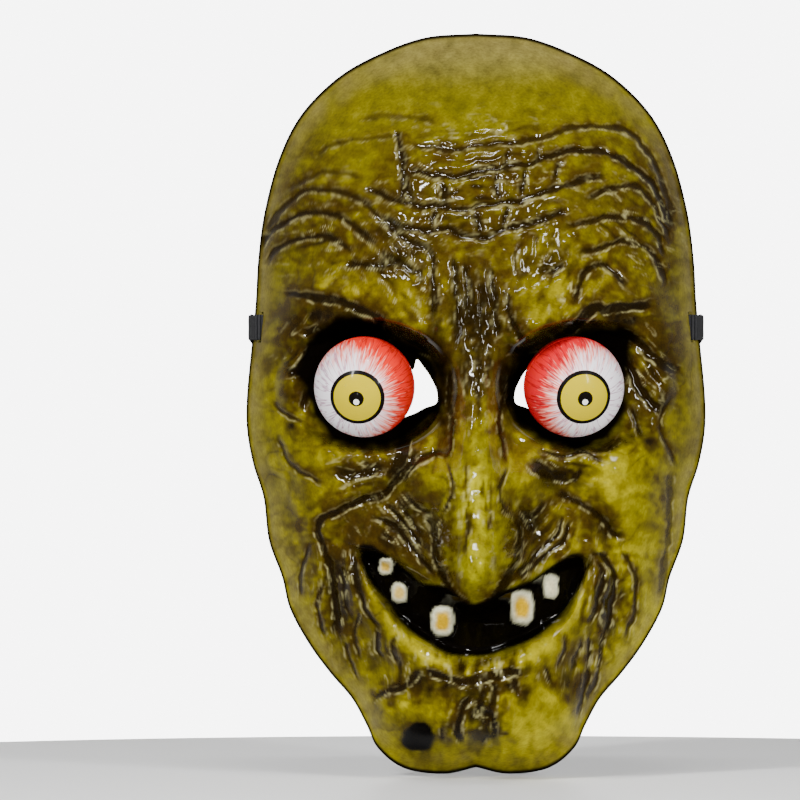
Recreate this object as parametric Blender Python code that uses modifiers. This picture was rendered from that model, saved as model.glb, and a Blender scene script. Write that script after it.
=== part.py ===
"""Ghoul face mask with two sprung pop eyes.

Metres, +Z up. The face looks along -Y, and the origin is the middle of the flat rear rim, at the plane
where the mask meets the wearer's face. Run it with blender --background --python part.py.
"""

import math

import bmesh
import bpy
import numpy as np
from mathutils import Matrix, Vector

MM = 0.001
GAP = 0.3 * MM  # left between pieces that touch

# Shell
SHEET = 1.2 * MM
DOME_DEPTH = 0.065  # middle of the face to the rim, before the features
RIM_TRIM = 0.001  # cut off behind, to leave the rim flat
SHELL_GRID = (96, 120)  # faces across and up, before they are thinned out
SHELL_KEPT = 0.115  # share of them that is kept
RIM_CUT = (0.3, 0.020, 0.4)
# Right half of the rim's outline (x, z), from the crown to the cleft of the chin
OUTLINE = [
    (0, 0.140), (0.019, 0.1385), (0.036, 0.1325), (0.052, 0.1235), (0.066, 0.1095),
    (0.0745, 0.093), (0.080, 0.073), (0.0825, 0.055), (0.0835, 0.038), (0.085, 0.022),
    (0.0868, 0.003), (0.0868, -0.010), (0.0845, -0.023), (0.0805, -0.036), (0.0785, -0.052),
    (0.0735, -0.066), (0.0705, -0.078), (0.0635, -0.091), (0.0555, -0.102), (0.047, -0.112),
    (0.0415, -0.122), (0.037, -0.131), (0.027, -0.1385), (0.012, -0.1405), (0, -0.138),
]  # fmt: skip

# Eyes
EYE_X = {"left": -0.0414, "right": 0.0363}
EYE_Y = -0.057
EYE_Z = 0.006
BALL_RADIUS = 0.0187
BALL_WALL = 1.0 * MM
GAZE = {"left": (-9, -14), "right": (13, -14)}  # degrees outward from straight ahead (+X), and up
SOCKET_X = 0.041
SOCKET_HALF = (0.028, 0.0205)
SOCKET_FLOOR = 0.038  # the floor stands this far in front of the rim's plane
# Eye hole of the right side (x, z), round the almond from its nose corner
EYE_HOLE = [
    (0.0148, 0.0000), (0.0147, 0.0045), (0.0171, 0.0098), (0.0195, 0.0133), (0.0221, 0.0163),
    (0.0234, 0.0127), (0.0268, 0.0122), (0.0320, 0.0165), (0.0420, 0.0180), (0.0495, 0.0140),
    (0.0530, 0.0060), (0.0495, -0.0020), (0.0420, -0.0060), (0.0320, -0.0065), (0.0240, -0.0043),
    (0.0190, -0.0018),
]  # fmt: skip

EYE_CUT_Y = (-0.048, -0.030)

# Spring mount behind each ball
CUP_CLEARANCE = 0.45 * MM
CUP_WALL = 1.2 * MM
CUP_ANGLE = math.radians(26)
BOSS_RADIUS = 0.004
BOSS_LENGTH = 0.0022
WIRE_RADIUS = 0.45 * MM
COIL_TURNS = 4.5
COIL_RADIUS = BOSS_RADIUS + GAP + WIRE_RADIUS
BRACKET_WIDTH = 0.012
BRACKET_SHEET = 0.8 * MM
BRACKET_WEB_Y = -0.0245  # front face of the strip behind the spring
BRACKET_HALF_HEIGHT = 0.0205
BRACKET_BEND = 0.0035  # from a rivet to the bend, and from there to the web
RIVET_OFFSET = 0.0165  # up and down from the eye's middle
RIVET_RADIUS = 1.1 * MM
RIVET_HEAD = [(0, 0.0011), (0.0012, 0.0009), (0.0021, 0.0004), (0.0024, 0)]  # (radius, height)
RIVET_TAIL = (0.0021, 0.0008)  # radius, and height behind the bracket's foot
RIVET_CUT_Y = (-0.045, -0.034)
SEAT_RADIUS = 0.0065
SEAT_FLANGE = 1.0 * MM

# Head strap: flat elastic through a slot at each temple, closed on itself with a staple
STRAP_Z = 0.0285
STRAP_WIDTH = 0.0095
STRAP_SHEET = 1.0 * MM
SLOT_HEIGHT = 0.0115
SLOT_WIDTH = 0.0036
SLOT_DEPTH_Y = 0.010  # in front of the rim's plane
SLOT_CUT = 0.008  # how far the slot's cutter reaches through the wall
STAPLE_WIRE = 0.3 * MM
STAPLE_HALF = 0.0032
STAPLE_ALONG = 0.0185  # from the slot, back along the strap
STAPLE_LAYERS = (-0.0020, -0.0035)  # the strap's two layers there, out from the wall
STAPLE_POINT = 0.0006  # half the gap between the folded points
STAPLE_CUT = 0.012
# The loop at the right temple, as (out from the wall's outer face, back along the wall from the slot)
STRAP_LOOP = [
    (-0.0036, 0.0235), (-0.0035, 0.0185), (-0.0030, 0.0130), (-0.0024, 0.0070), (-0.0022, 0.0030),
    (-0.00216, 0.0012), (-0.00173, 0.00037), (-0.0006, -0.0001), (0.00063, 0.00037), (0.00125, 0.0013),
    (0.00145, 0.0040), (0.00150, 0.0085), (0.00125, 0.0115), (0.0001, 0.0138), (-0.0013, 0.0160),
    (-0.0020, 0.0185), (-0.0024, 0.0225),
]  # fmt: skip
# Then how it hangs behind the mask, from the right temple to the middle (x, y, z)
STRAP_HANG = [
    (0.0815, 0.0185, 0.0225), (0.0780, 0.0215, 0.0135), (0.0730, 0.0225, 0.0030), (0.0650, 0.0230, -0.0110),
    (0.0540, 0.0230, -0.0260), (0.0400, 0.0230, -0.0395), (0.0220, 0.0230, -0.0485), (0, 0.0230, -0.0515),
]  # fmt: skip

SIDES = {"left": -1, "right": 1}


def material(name, colour, roughness, metallic=0.0, coat=0.0):
    made = bpy.data.materials.new(name)
    made.use_nodes = True
    made.diffuse_color = (*colour, 1)
    shader = made.node_tree.nodes["Principled BSDF"]
    shader.inputs["Base Color"].default_value = (*colour, 1)
    shader.inputs["Roughness"].default_value = roughness
    shader.inputs["Metallic"].default_value = metallic
    shader.inputs["Coat Weight"].default_value = coat
    return made


def new_collection(name):
    made = bpy.data.collections.new(name)
    bpy.context.scene.collection.children.link(made)
    return made


def clear_scene():
    for obj in list(bpy.data.objects):
        bpy.data.objects.remove(obj, do_unlink=True)


def place(obj, collection, finish=None):
    """Puts an object in a collection, gives it its material, and makes a cutter out of one without."""
    for old in list(obj.users_collection):
        old.objects.unlink(obj)
    collection.objects.link(obj)
    if finish is None:
        obj.hide_render = True
        obj.display_type = "WIRE"
    else:
        obj.data.materials.append(finish)
    return obj


def cut(obj, cutters):
    """Boolean differences that stay on the object as modifiers."""
    for cutter in cutters:
        boolean = obj.modifiers.new(cutter.name, "BOOLEAN")
        boolean.operation = "DIFFERENCE"
        boolean.solver = "EXACT"
        boolean.object = cutter


def spline(knots, steps, closed=False):
    """Points on a smooth curve through the knots, with this many steps between each two."""
    knots = np.asarray(knots, float)
    if closed:
        padded = np.vstack([knots[-1:], knots, knots[:2]])
    else:
        padded = np.vstack([2 * knots[0] - knots[1], knots, 2 * knots[-1] - knots[-2]])
    t = np.linspace(0, 1, steps, endpoint=False)[:, None]
    spans = []
    for a, b, c, d in zip(padded, padded[1:], padded[2:], padded[3:]):
        cubic = 1.5 * (b - c) + (d - a) / 2
        spans.append(b + t * (c - a) / 2 + t**2 * (a - 2.5 * b + 2 * c - d / 2) + t**3 * cubic)
    points = np.vstack(spans)
    return points if closed else np.vstack([points, knots[-1:]])


# The face's form. Each function takes arrays of x and z and returns metres in front of the rim's plane.


def outline_radius(angle):
    """Distance from the origin to the rim, at an angle from +Z towards either side."""
    curve = spline(OUTLINE, 12)
    return np.interp(np.abs(angle), np.arctan2(curve[:, 0], curve[:, 1]), np.hypot(curve[:, 0], curve[:, 1]))


def ease(t):
    t = np.clip(t, 0, 1)
    return t * t * (3 - 2 * t)


def hill(x, z, centre, spread):
    return np.exp(-(((x - centre[0]) / spread[0]) ** 2) - ((z - centre[1]) / spread[1]) ** 2)


def ridge(x, z, knots, width):
    """One along a smooth line, falling to nothing over its width."""
    line = spline(knots, 6)
    nearest = np.full(np.shape(x), np.inf)
    for a, b in zip(line, line[1:]):
        along = b - a
        t = np.clip(((x - a[0]) * along[0] + (z - a[1]) * along[1]) / (along @ along), 0, 1)
        nearest = np.minimum(nearest, np.hypot(x - a[0] - t * along[0], z - a[1] - t * along[1]))
    return np.exp(-((nearest / width) ** 2))


def through(knots, at):
    """The value at each place, on a smooth curve through (place, value) knots in rising order."""
    curve = spline(knots, 8)
    return np.interp(at, curve[:, 0], curve[:, 1])


def dome(rho):
    return DOME_DEPTH * (1 - np.clip(rho, 0, 1) ** 2.6) ** 0.75 - RIM_TRIM


def brow(side_x, z):
    inner = hill(side_x, z, (0.021, 0.028), (0.013, 0.010))
    arch = ridge(side_x, z, [(0.020, 0.030), (0.042, 0.037), (0.062, 0.039), (0.074, 0.026)], 0.009)
    return 0.009 * inner + 0.007 * arch


def cheek(side_x, z):
    fold = ridge(side_x, z, [(0.029, -0.030), (0.044, -0.040), (0.053, -0.058), (0.053, -0.078)], 0.0045)
    bone = hill(side_x, z, (0.058, -0.026), (0.019, 0.020))
    jowl = hill(side_x, z, (0.060, -0.062), (0.012, 0.026))
    return 0.009 * bone + 0.005 * jowl - 0.004 * fold


def nose(x, z):
    rise = [(-0.082, 0), (-0.0765, 0.006), (-0.0725, 0.027), (-0.066, 0.042), (-0.058, 0.045),
            (-0.046, 0.038), (-0.030, 0.027), (-0.012, 0.018), (0.004, 0.012), (0.018, 0.007),
            (0.032, 0.001), (0.045, 0)]  # fmt: skip
    width = [(-0.085, 0.010), (-0.066, 0.0125), (-0.050, 0.0135), (-0.030, 0.0125), (-0.010, 0.0095),
             (0.030, 0.0085)]  # fmt: skip
    across = np.exp(-((np.abs(x) / through(width, z)) ** 2.5))
    return through(rise, z) * across


def nose_wing(side_x, z):
    wing = hill(side_x, z, (0.0185, -0.029), (0.0085, 0.0105))
    nostril = hill(side_x, z, (0.0195, -0.043), (0.005, 0.0045))
    return 0.012 * wing - 0.005 * nostril


def socket(depth, side_x, z):
    """The recess for each eye, down to a flat floor."""
    out = np.hypot((side_x - SOCKET_X) / SOCKET_HALF[0], (z - EYE_Z) / SOCKET_HALF[1])
    share = 1 - ease((out - 0.98) / 0.27)
    return depth * (1 - share) + SOCKET_FLOOR * share


def mouth(depth, x, z):
    """The grin, a crescent sunk behind the lips, with the lower lip standing proud under it."""
    upper = [(-0.050, -0.052), (-0.0435, -0.0545), (-0.029, -0.059), (-0.011, -0.070),
             (0, -0.0755), (0.012, -0.071), (0.023, -0.0655), (0.032, -0.059),
             (0.0425, -0.0575), (0.050, -0.057)]  # fmt: skip
    lower = [(-0.050, -0.052), (-0.0435, -0.0585), (-0.038, -0.070), (-0.026, -0.0845),
             (-0.008, -0.095), (0.006, -0.0955), (0.026, -0.0855), (0.0355, -0.078),
             (0.0425, -0.061), (0.050, -0.057)]  # fmt: skip
    top, bottom = through(upper, x), through(lower, x)
    lip_line = [(-0.045, -0.066), (-0.031, -0.088), (0, -0.102), (0.031, -0.089), (0.045, -0.068)]
    lip = ridge(x, z, lip_line, 0.0065)
    inside = ease((z - bottom) / 0.006 + 0.3) * ease((top - z) / 0.006 + 0.3)
    return depth + 0.006 * lip - 0.012 * inside


def chin(x, z):
    ball = hill(x, z, (0.001, -0.1175), (0.030, 0.0165))
    cleft = ridge(x, z, [(0.003, -0.116), (0.005, -0.128), (0.002, -0.142)], 0.0035)
    return 0.024 * ball - 0.003 * cleft


def face_depth(x, z, rho):
    side_x = np.abs(x)
    fade = ease((1 - rho) / 0.22)
    forehead = 0.008 * hill(x, z, (0, 0.082), (0.058, 0.042))
    depth = dome(rho) + fade * (forehead + brow(side_x, z) + cheek(side_x, z))
    depth = socket(depth + fade * 0.007 * hill(x, z, (0, -0.070), (0.040, 0.024)), side_x, z)
    depth = depth + nose(x, z) + fade * nose_wing(side_x, z)
    return mouth(depth, x, z) + ease((1 - rho) / 0.12) * chin(x, z)


def disc_point(u, v, packing=0.75):
    """Turns a square's (u, v) into a point inside the outline, packing the rows closer towards the rim."""
    across, up = u * np.sqrt(1 - v * v / 2), v * np.sqrt(1 - u * u / 2)
    angle = np.arctan2(across, up)
    rho = np.sin(np.hypot(across, up) * packing * math.pi / 2) / math.sin(packing * math.pi / 2)
    reach = rho * outline_radius(angle)
    return reach * np.sin(angle), reach * np.cos(angle), rho


# Shell


def hole_cutter(name, points, y_low, y_high, collection):
    """A prism along Y through the outline (x, z)."""
    mesh = bpy.data.meshes.new(name)
    shape = bmesh.new()
    face = shape.faces.new([shape.verts.new((x, y_low, z)) for x, z in points])
    pushed = bmesh.ops.extrude_face_region(shape, geom=[face])
    moved = [v for v in pushed["geom"] if isinstance(v, bmesh.types.BMVert)]
    bmesh.ops.translate(shape, verts=moved, vec=(0, y_high - y_low, 0))
    bmesh.ops.recalc_face_normals(shape, faces=shape.faces)
    shape.to_mesh(mesh)
    shape.free()
    return place(bpy.data.objects.new(name, mesh), collection)


def box_cutter(name, size, frame, collection):
    bpy.ops.mesh.primitive_cube_add(size=1)
    obj = bpy.context.object
    obj.name = name
    obj.data.transform(Matrix.Diagonal((*size, 1)))
    obj.matrix_world = frame
    return place(obj, collection)


def rod_cutter(name, radius, start, end, collection):
    """A cylinder along Y."""
    bpy.ops.mesh.primitive_cylinder_add(vertices=16, radius=radius, depth=abs(end[1] - start[1]))
    obj = bpy.context.object
    obj.name = name
    obj.data.transform(Matrix.Rotation(math.pi / 2, 4, "X"))
    obj.location = (Vector(start) + Vector(end)) / 2
    return place(obj, collection)


def make_shell(collection, cutters, finish):
    bpy.ops.mesh.primitive_grid_add(x_subdivisions=SHELL_GRID[0], y_subdivisions=SHELL_GRID[1], size=2)
    shell = bpy.context.object
    shell.name = "mask_shell"
    flat = np.empty(len(shell.data.vertices) * 3)
    shell.data.vertices.foreach_get("co", flat)
    square = flat.reshape(-1, 3).clip(-1, 1)
    x, z, rho = disc_point(square[:, 0], square[:, 1])
    points = np.column_stack([x, -face_depth(x, z, rho), z])
    shell.data.vertices.foreach_set("co", points.ravel())
    shell.data.update()
    coarse = shell.modifiers.new("coarse", "DECIMATE")
    coarse.ratio = SHELL_KEPT
    sheet = shell.modifiers.new("sheet", "SOLIDIFY")
    sheet.thickness = SHEET
    sheet.offset = -1
    sheet.use_even_offset = False
    cut(shell, cutters)
    return place(shell, collection, finish)


def shell_cutters(collection):
    behind = Matrix.Translation((0, RIM_CUT[1] / 2, 0))
    made = [box_cutter("rim_plane_cutter", RIM_CUT, behind, collection)]
    hole = spline(EYE_HOLE, 3, closed=True)
    for side, sign in SIDES.items():
        made.append(hole_cutter(f"{side}_eye_hole_cutter", hole * (sign, 1), *EYE_CUT_Y, collection))
        slot_size = (SLOT_CUT, SLOT_WIDTH, SLOT_HEIGHT)
        made.append(box_cutter(f"{side}_slot_cutter", slot_size, temple_frame(sign), collection))
        for end, up in (("upper", 1), ("lower", -1)):
            z = EYE_Z + up * RIVET_OFFSET
            start, stop = ((EYE_X[side], y, z) for y in RIVET_CUT_Y)
            name = f"{side}_{end}_rivet_cutter"
            made.append(rod_cutter(name, RIVET_RADIUS + GAP, start, stop, collection))
    return made


# Eyes


def turned(name, profile, collection, finish, frame, steps):
    """A profile (radius, height), outer side first from top to bottom, turned about its own Z axis."""
    mesh = bpy.data.meshes.new(name)
    edges = [(i, i + 1) for i in range(len(profile) - 1)]
    mesh.from_pydata([(radius, 0, height) for radius, height in profile], edges, [])
    obj = place(bpy.data.objects.new(name, mesh), collection, finish)
    obj.matrix_world = frame
    screw = obj.modifiers.new("turn", "SCREW")
    screw.steps = screw.render_steps = steps
    screw.use_merge_vertices = True
    screw.merge_threshold = 0.00001
    screw.use_smooth_shade = True
    return obj


def arc(radius, start, end, count):
    """Points (radius, height) on a circle about the origin, by angle down from the pole."""
    angles = [start + (end - start) * i / count for i in range(count + 1)]
    return [(radius * math.sin(a), radius * math.cos(a)) for a in angles]


def facing(centre, direction):
    """A frame at the centre with its Z axis along the direction."""
    return Matrix.Translation(centre) @ Vector(direction).to_track_quat("Z", "Y").to_matrix().to_4x4()


def gaze_direction(side):
    across, up = (math.radians(angle) for angle in GAZE[side])
    return Vector((math.sin(across) * math.cos(up), -math.cos(across) * math.cos(up), math.sin(up)))


def make_ball(side, centre, collection, finish):
    """Two open bowls, with the joint between them square to the gaze."""
    seam = math.pi / 2 - GAP / 2 / BALL_RADIUS
    inner = BALL_RADIUS - BALL_WALL
    profile = arc(BALL_RADIUS, 0, seam, 7) + arc(inner, seam, 0, 4)
    profile[0] = (0, BALL_RADIUS)
    profile[-1] = (0, inner)
    for name, way in ((f"{side}_eyeball_front", 1), (f"{side}_eyeball_rear", -1)):
        turned(name, profile, collection, finish, facing(centre, way * gaze_direction(side)), steps=26)


def make_cup(side, centre, collection, finish):
    """A dish round the ball's back, with a boss behind that the spring's front coil goes round."""
    near, far = BALL_RADIUS + CUP_CLEARANCE, BALL_RADIUS + CUP_CLEARANCE + CUP_WALL
    boss_foot = math.asin(BOSS_RADIUS / far)
    profile = [(0, far + BOSS_LENGTH), (BOSS_RADIUS, far + BOSS_LENGTH)]
    profile += arc(far, boss_foot, CUP_ANGLE, 3) + arc(near, CUP_ANGLE, 0, 3)
    profile[-1] = (0, near)
    turned(f"{side}_spring_cup", profile, collection, finish, facing(centre, (0, 1, 0)), steps=22)


def make_seat(side, collection, finish):
    """A button on the bracket: a flange that the spring's rear coil bears on, and a boss inside the coil."""
    back = BRACKET_WEB_Y - GAP
    top = SEAT_FLANGE + BOSS_LENGTH
    profile = [(0, top), (BOSS_RADIUS, top), (BOSS_RADIUS, SEAT_FLANGE), (SEAT_RADIUS, SEAT_FLANGE),
               (SEAT_RADIUS, 0), (0, 0)]  # fmt: skip
    frame = facing((EYE_X[side], back, EYE_Z), (0, -1, 0))
    turned(f"{side}_spring_seat", profile, collection, finish, frame, steps=20)


def make_spring(side, collection, finish):
    rear = BRACKET_WEB_Y - 2 * GAP - SEAT_FLANGE - WIRE_RADIUS
    front = EYE_Y + BALL_RADIUS + CUP_CLEARANCE + CUP_WALL + GAP + WIRE_RADIUS
    count = int(COIL_TURNS * 13)
    curve = bpy.data.curves.new(f"{side}_spring", "CURVE")
    curve.dimensions = "3D"
    curve.bevel_depth = WIRE_RADIUS
    curve.bevel_resolution = 1
    curve.use_fill_caps = True
    wire = curve.splines.new("POLY")
    wire.points.add(count)
    for i, point in enumerate(wire.points):
        share = i / count
        turn = 2 * math.pi * COIL_TURNS * share
        along = rear + (front - rear) * share
        point.co = (COIL_RADIUS * math.cos(turn), along, COIL_RADIUS * math.sin(turn), 1)
    obj = place(bpy.data.objects.new(f"{side}_spring", curve), collection, finish)
    obj.location = (EYE_X[side], 0, EYE_Z)


def make_bracket(side, collection, cutters, finish):
    """A strip bent to a hat shape: a foot above and below the eye hole, and a web set back behind it."""
    foot_y = -SOCKET_FLOOR + SHEET + GAP
    foot_end, bend = BRACKET_HALF_HEIGHT, RIVET_OFFSET - BRACKET_BEND
    web = bend - BRACKET_BEND
    half = [(foot_end, foot_y), (bend, foot_y), (web, BRACKET_WEB_Y)]
    front = half + [(-z, y) for z, y in half[::-1]]
    mesh = bpy.data.meshes.new(f"{side}_eye_bracket")
    edges = [(i, i + 1) for i in range(len(front) - 1)]
    mesh.from_pydata([(0, y, z) for z, y in front], edges, [])
    shape = bmesh.new()
    shape.from_mesh(mesh)
    swept = bmesh.ops.extrude_edge_only(shape, edges=shape.edges[:])
    moved = [v for v in swept["geom"] if isinstance(v, bmesh.types.BMVert)]
    bmesh.ops.translate(shape, verts=moved, vec=(BRACKET_WIDTH, 0, 0))
    bmesh.ops.translate(shape, verts=shape.verts, vec=(-BRACKET_WIDTH / 2, 0, 0))
    bmesh.ops.recalc_face_normals(shape, faces=shape.faces)
    if sum(face.normal.y for face in shape.faces) > 0:
        bmesh.ops.reverse_faces(shape, faces=shape.faces)
    shape.to_mesh(mesh)
    shape.free()
    obj = place(bpy.data.objects.new(mesh.name, mesh), collection, finish)
    obj.location = (EYE_X[side], 0, EYE_Z)
    strip = obj.modifiers.new("strip", "SOLIDIFY")
    strip.thickness = BRACKET_SHEET
    strip.offset = -1
    strip.use_even_offset = True
    cut(obj, [cutter for cutter in cutters if cutter.name in rivet_cutter_names(side)])


def rivet_cutter_names(side):
    return [f"{side}_{end}_rivet_cutter" for end in ("upper", "lower")]


def make_rivets(side, collection, finish):
    """Each has a domed head in front of the socket floor and a flat one behind the bracket's foot."""
    grip = SHEET + BRACKET_SHEET + 3 * GAP
    radius, height = RIVET_TAIL
    profile = RIVET_HEAD + [(RIVET_RADIUS, 0), (RIVET_RADIUS, -grip), (radius, -grip)]
    profile += [(radius, -grip - height), (0, -grip - height)]
    for end, up in (("upper", 1), ("lower", -1)):
        centre = (EYE_X[side], -SOCKET_FLOOR - GAP, EYE_Z + up * RIVET_OFFSET)
        turned(f"{side}_{end}_rivet", profile, collection, finish, facing(centre, (0, -1, 0)), steps=12)


# Head strap


def temple_frame(sign):
    """A frame at the middle of a temple's slot: X out of the wall, Y back along it, Z up."""
    angles = np.linspace(0.8, 2.2, 1401)
    rim_angle = angles[np.argmin(np.abs(outline_radius(angles) * np.cos(angles) - STRAP_Z))]
    rim_x = outline_radius(rim_angle) * math.sin(rim_angle)
    shares = np.linspace(0.85, 1, 3001)
    depths = face_depth(shares * rim_x, np.full(shares.shape, STRAP_Z), shares)
    slot_x = shares[np.argmin(np.abs(depths - SLOT_DEPTH_Y))] * rim_x
    edge_x = shares[np.argmin(np.abs(depths))] * rim_x
    back = Vector((edge_x - slot_x, SLOT_DEPTH_Y, 0)).normalized()
    out = Vector((back.y, -back.x, 0))
    right = Matrix((out, back, (0, 0, 1))).transposed().to_4x4()
    right.translation = (slot_x, -SLOT_DEPTH_Y, STRAP_Z)
    if sign > 0:
        return right
    mirror = Matrix.Diagonal((-1, 1, 1, 1))
    return mirror @ right @ mirror


def strap_route():
    """The middle line of the strap, from the loose end at the left temple to that at the right."""
    frame = temple_frame(1)
    loop = [frame @ Vector((out, back, 0)) for out, back in STRAP_LOOP]
    half = [tuple(p) for p in loop] + STRAP_HANG
    knots = [(-x, y, z) for x, y, z in half[:-1]] + half[::-1]
    return spline(knots, 3)


def strap_widths(route):
    """The way the strap's width points: upright at the temples, and front to back where it hangs."""
    steps = np.linalg.norm(np.diff(route, axis=0), axis=1)
    along = np.concatenate([[0], np.cumsum(steps)])
    tangents = np.gradient(route, along, axis=0)
    tangents /= np.linalg.norm(tangents, axis=1)[:, None]
    from_end = np.minimum(along, along[-1] - along)
    turn = ease((from_end - 0.045) / 0.040)[:, None]
    widths = (1 - turn) * (0, 0, 1) + turn * (0, 1, 0)
    widths = widths - tangents * (widths * tangents).sum(axis=1)[:, None]
    widths /= np.linalg.norm(widths, axis=1)[:, None]
    return widths, np.cross(tangents, widths)


def make_strap(collection, cutters, finish):
    route = strap_route()
    widths, normals = strap_widths(route)
    shape = bmesh.new()
    corners = [(1, 1), (1, -1), (-1, -1), (-1, 1)]
    rings = []
    for centre, wide, thick in zip(route, widths, normals):
        ring = [centre + a * wide * STRAP_WIDTH / 2 + b * thick * STRAP_SHEET / 2 for a, b in corners]
        rings.append([shape.verts.new(point) for point in ring])
    for ring, following in zip(rings, rings[1:]):
        for i in range(4):
            j = (i + 1) % 4
            shape.faces.new([ring[i], ring[j], following[j], following[i]])
    shape.faces.new(rings[0])
    shape.faces.new(rings[-1][::-1])
    bmesh.ops.recalc_face_normals(shape, faces=shape.faces)
    mesh = bpy.data.meshes.new("head_strap")
    shape.to_mesh(mesh)
    shape.free()
    strap = place(bpy.data.objects.new("head_strap", mesh), collection, finish)
    cut(strap, cutters)


def staple_cutters(collection):
    made = []
    size = (STAPLE_CUT, 2 * (STAPLE_WIRE + GAP), 2 * (STAPLE_WIRE + GAP))
    middle = sum(STAPLE_LAYERS) / 2
    for side, sign in SIDES.items():
        for end, up in (("upper", 1), ("lower", -1)):
            frame = temple_frame(sign) @ Matrix.Translation((middle * sign, STAPLE_ALONG, up * STAPLE_HALF))
            made.append(box_cutter(f"{side}_{end}_staple_cutter", size, frame, collection))
    return made


def make_staple(side, sign, collection, finish):
    """A crown outside the two layers, a leg through them at each end, and the points folded in behind."""
    clear = STRAP_SHEET / 2 + GAP + STAPLE_WIRE
    crown, folded = STAPLE_LAYERS[0] + clear, STAPLE_LAYERS[1] - clear
    bent = [(folded, STAPLE_POINT), (folded, STAPLE_HALF), (crown, STAPLE_HALF)]
    curve = bpy.data.curves.new(f"{side}_strap_staple", "CURVE")
    curve.dimensions = "3D"
    curve.bevel_depth = STAPLE_WIRE
    curve.bevel_resolution = 1
    curve.use_fill_caps = True
    wire = curve.splines.new("POLY")
    corners = bent + [(out, -up) for out, up in bent[::-1]]
    wire.points.add(len(corners) - 1)
    for point, (out, up) in zip(wire.points, corners):
        point.co = (out * sign, 0, up, 1)
    obj = place(bpy.data.objects.new(f"{side}_strap_staple", curve), collection, finish)
    obj.matrix_world = temple_frame(sign) @ Matrix.Translation((0, STAPLE_ALONG, 0))


def main():
    clear_scene()
    mask = new_collection("ghoul_mask")
    cutters = new_collection("cutters")
    pvc = material("painted_pvc", (0.33, 0.30, 0.04), 0.25, coat=0.8)
    eyeball = material("gloss_white_plastic", (0.85, 0.82, 0.84), 0.15, coat=0.8)
    black_plastic = material("black_plastic", (0.02, 0.02, 0.02), 0.4)
    wire = material("spring_wire", (0.62, 0.62, 0.60), 0.25, metallic=1.0)
    tin = material("bracket_sheet", (0.55, 0.56, 0.56), 0.35, metallic=1.0)
    elastic = material("black_elastic", (0.015, 0.015, 0.016), 0.85)

    shell_tools = shell_cutters(cutters)
    make_shell(mask, shell_tools, pvc)
    for side, sign in SIDES.items():
        centre = Vector((EYE_X[side], EYE_Y, EYE_Z))
        make_ball(side, centre, mask, eyeball)
        make_cup(side, centre, mask, black_plastic)
        make_seat(side, mask, black_plastic)
        make_spring(side, mask, wire)
        make_bracket(side, mask, shell_tools, tin)
        make_rivets(side, mask, tin)
        make_staple(side, sign, mask, wire)
    make_strap(mask, staple_cutters(cutters), elastic)


main()
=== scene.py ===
"""Looks for the ghoul face mask: painted PVC skin, sprung eyeballs, mount hardware and head strap."""

import math

import bmesh
import bpy
import numpy as np
from mathutils import Matrix, Vector

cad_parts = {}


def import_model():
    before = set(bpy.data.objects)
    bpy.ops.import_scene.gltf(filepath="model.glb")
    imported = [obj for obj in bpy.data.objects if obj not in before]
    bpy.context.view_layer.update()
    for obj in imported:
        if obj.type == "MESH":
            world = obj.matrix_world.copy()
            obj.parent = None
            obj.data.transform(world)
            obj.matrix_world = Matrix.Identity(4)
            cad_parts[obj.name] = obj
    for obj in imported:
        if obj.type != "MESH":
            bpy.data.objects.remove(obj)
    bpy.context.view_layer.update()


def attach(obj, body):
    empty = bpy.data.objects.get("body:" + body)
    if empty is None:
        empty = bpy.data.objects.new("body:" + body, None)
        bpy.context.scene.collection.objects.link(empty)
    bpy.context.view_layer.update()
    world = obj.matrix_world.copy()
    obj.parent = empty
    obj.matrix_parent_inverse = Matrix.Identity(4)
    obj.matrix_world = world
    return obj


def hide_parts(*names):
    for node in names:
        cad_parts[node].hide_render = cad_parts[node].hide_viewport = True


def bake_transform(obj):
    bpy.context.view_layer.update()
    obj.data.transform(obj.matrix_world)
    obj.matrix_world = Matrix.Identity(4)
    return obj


MM = 0.001
GAP = 0.3 * MM

# The mask's form, as the CAD has it
SHEET = 1.2 * MM
DOME_DEPTH = 0.065
RIM_TRIM = 0.001
OUTLINE = [
    (0, 0.140), (0.019, 0.1385), (0.036, 0.1325), (0.052, 0.1235), (0.066, 0.1095),
    (0.0745, 0.093), (0.080, 0.073), (0.0825, 0.055), (0.0835, 0.038), (0.085, 0.022),
    (0.0868, 0.003), (0.0868, -0.010), (0.0845, -0.023), (0.0805, -0.036), (0.0785, -0.052),
    (0.0735, -0.066), (0.0705, -0.078), (0.0635, -0.091), (0.0555, -0.102), (0.047, -0.112),
    (0.0415, -0.122), (0.037, -0.131), (0.027, -0.1385), (0.012, -0.1405), (0, -0.138),
]  # fmt: skip
EYE_X = {"left": -0.0414, "right": 0.0363}
EYE_Y = -0.057
EYE_Z = 0.006
BALL_RADIUS = 0.0187
BALL_WALL = 1.0 * MM
GAZE = {"left": (-9, -14), "right": (13, -14)}
SOCKET_X = 0.041
SOCKET_HALF = (0.028, 0.0205)
SOCKET_FLOOR = 0.038
EYE_CUT_Y = (-0.048, -0.030)
EYE_HOLE = [
    (0.0148, 0.0000), (0.0147, 0.0045), (0.0171, 0.0098), (0.0195, 0.0133), (0.0221, 0.0163),
    (0.0234, 0.0127), (0.0268, 0.0122), (0.0320, 0.0165), (0.0420, 0.0180), (0.0495, 0.0140),
    (0.0530, 0.0060), (0.0495, -0.0020), (0.0420, -0.0060), (0.0320, -0.0065), (0.0240, -0.0043),
    (0.0190, -0.0018),
]  # fmt: skip

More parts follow.
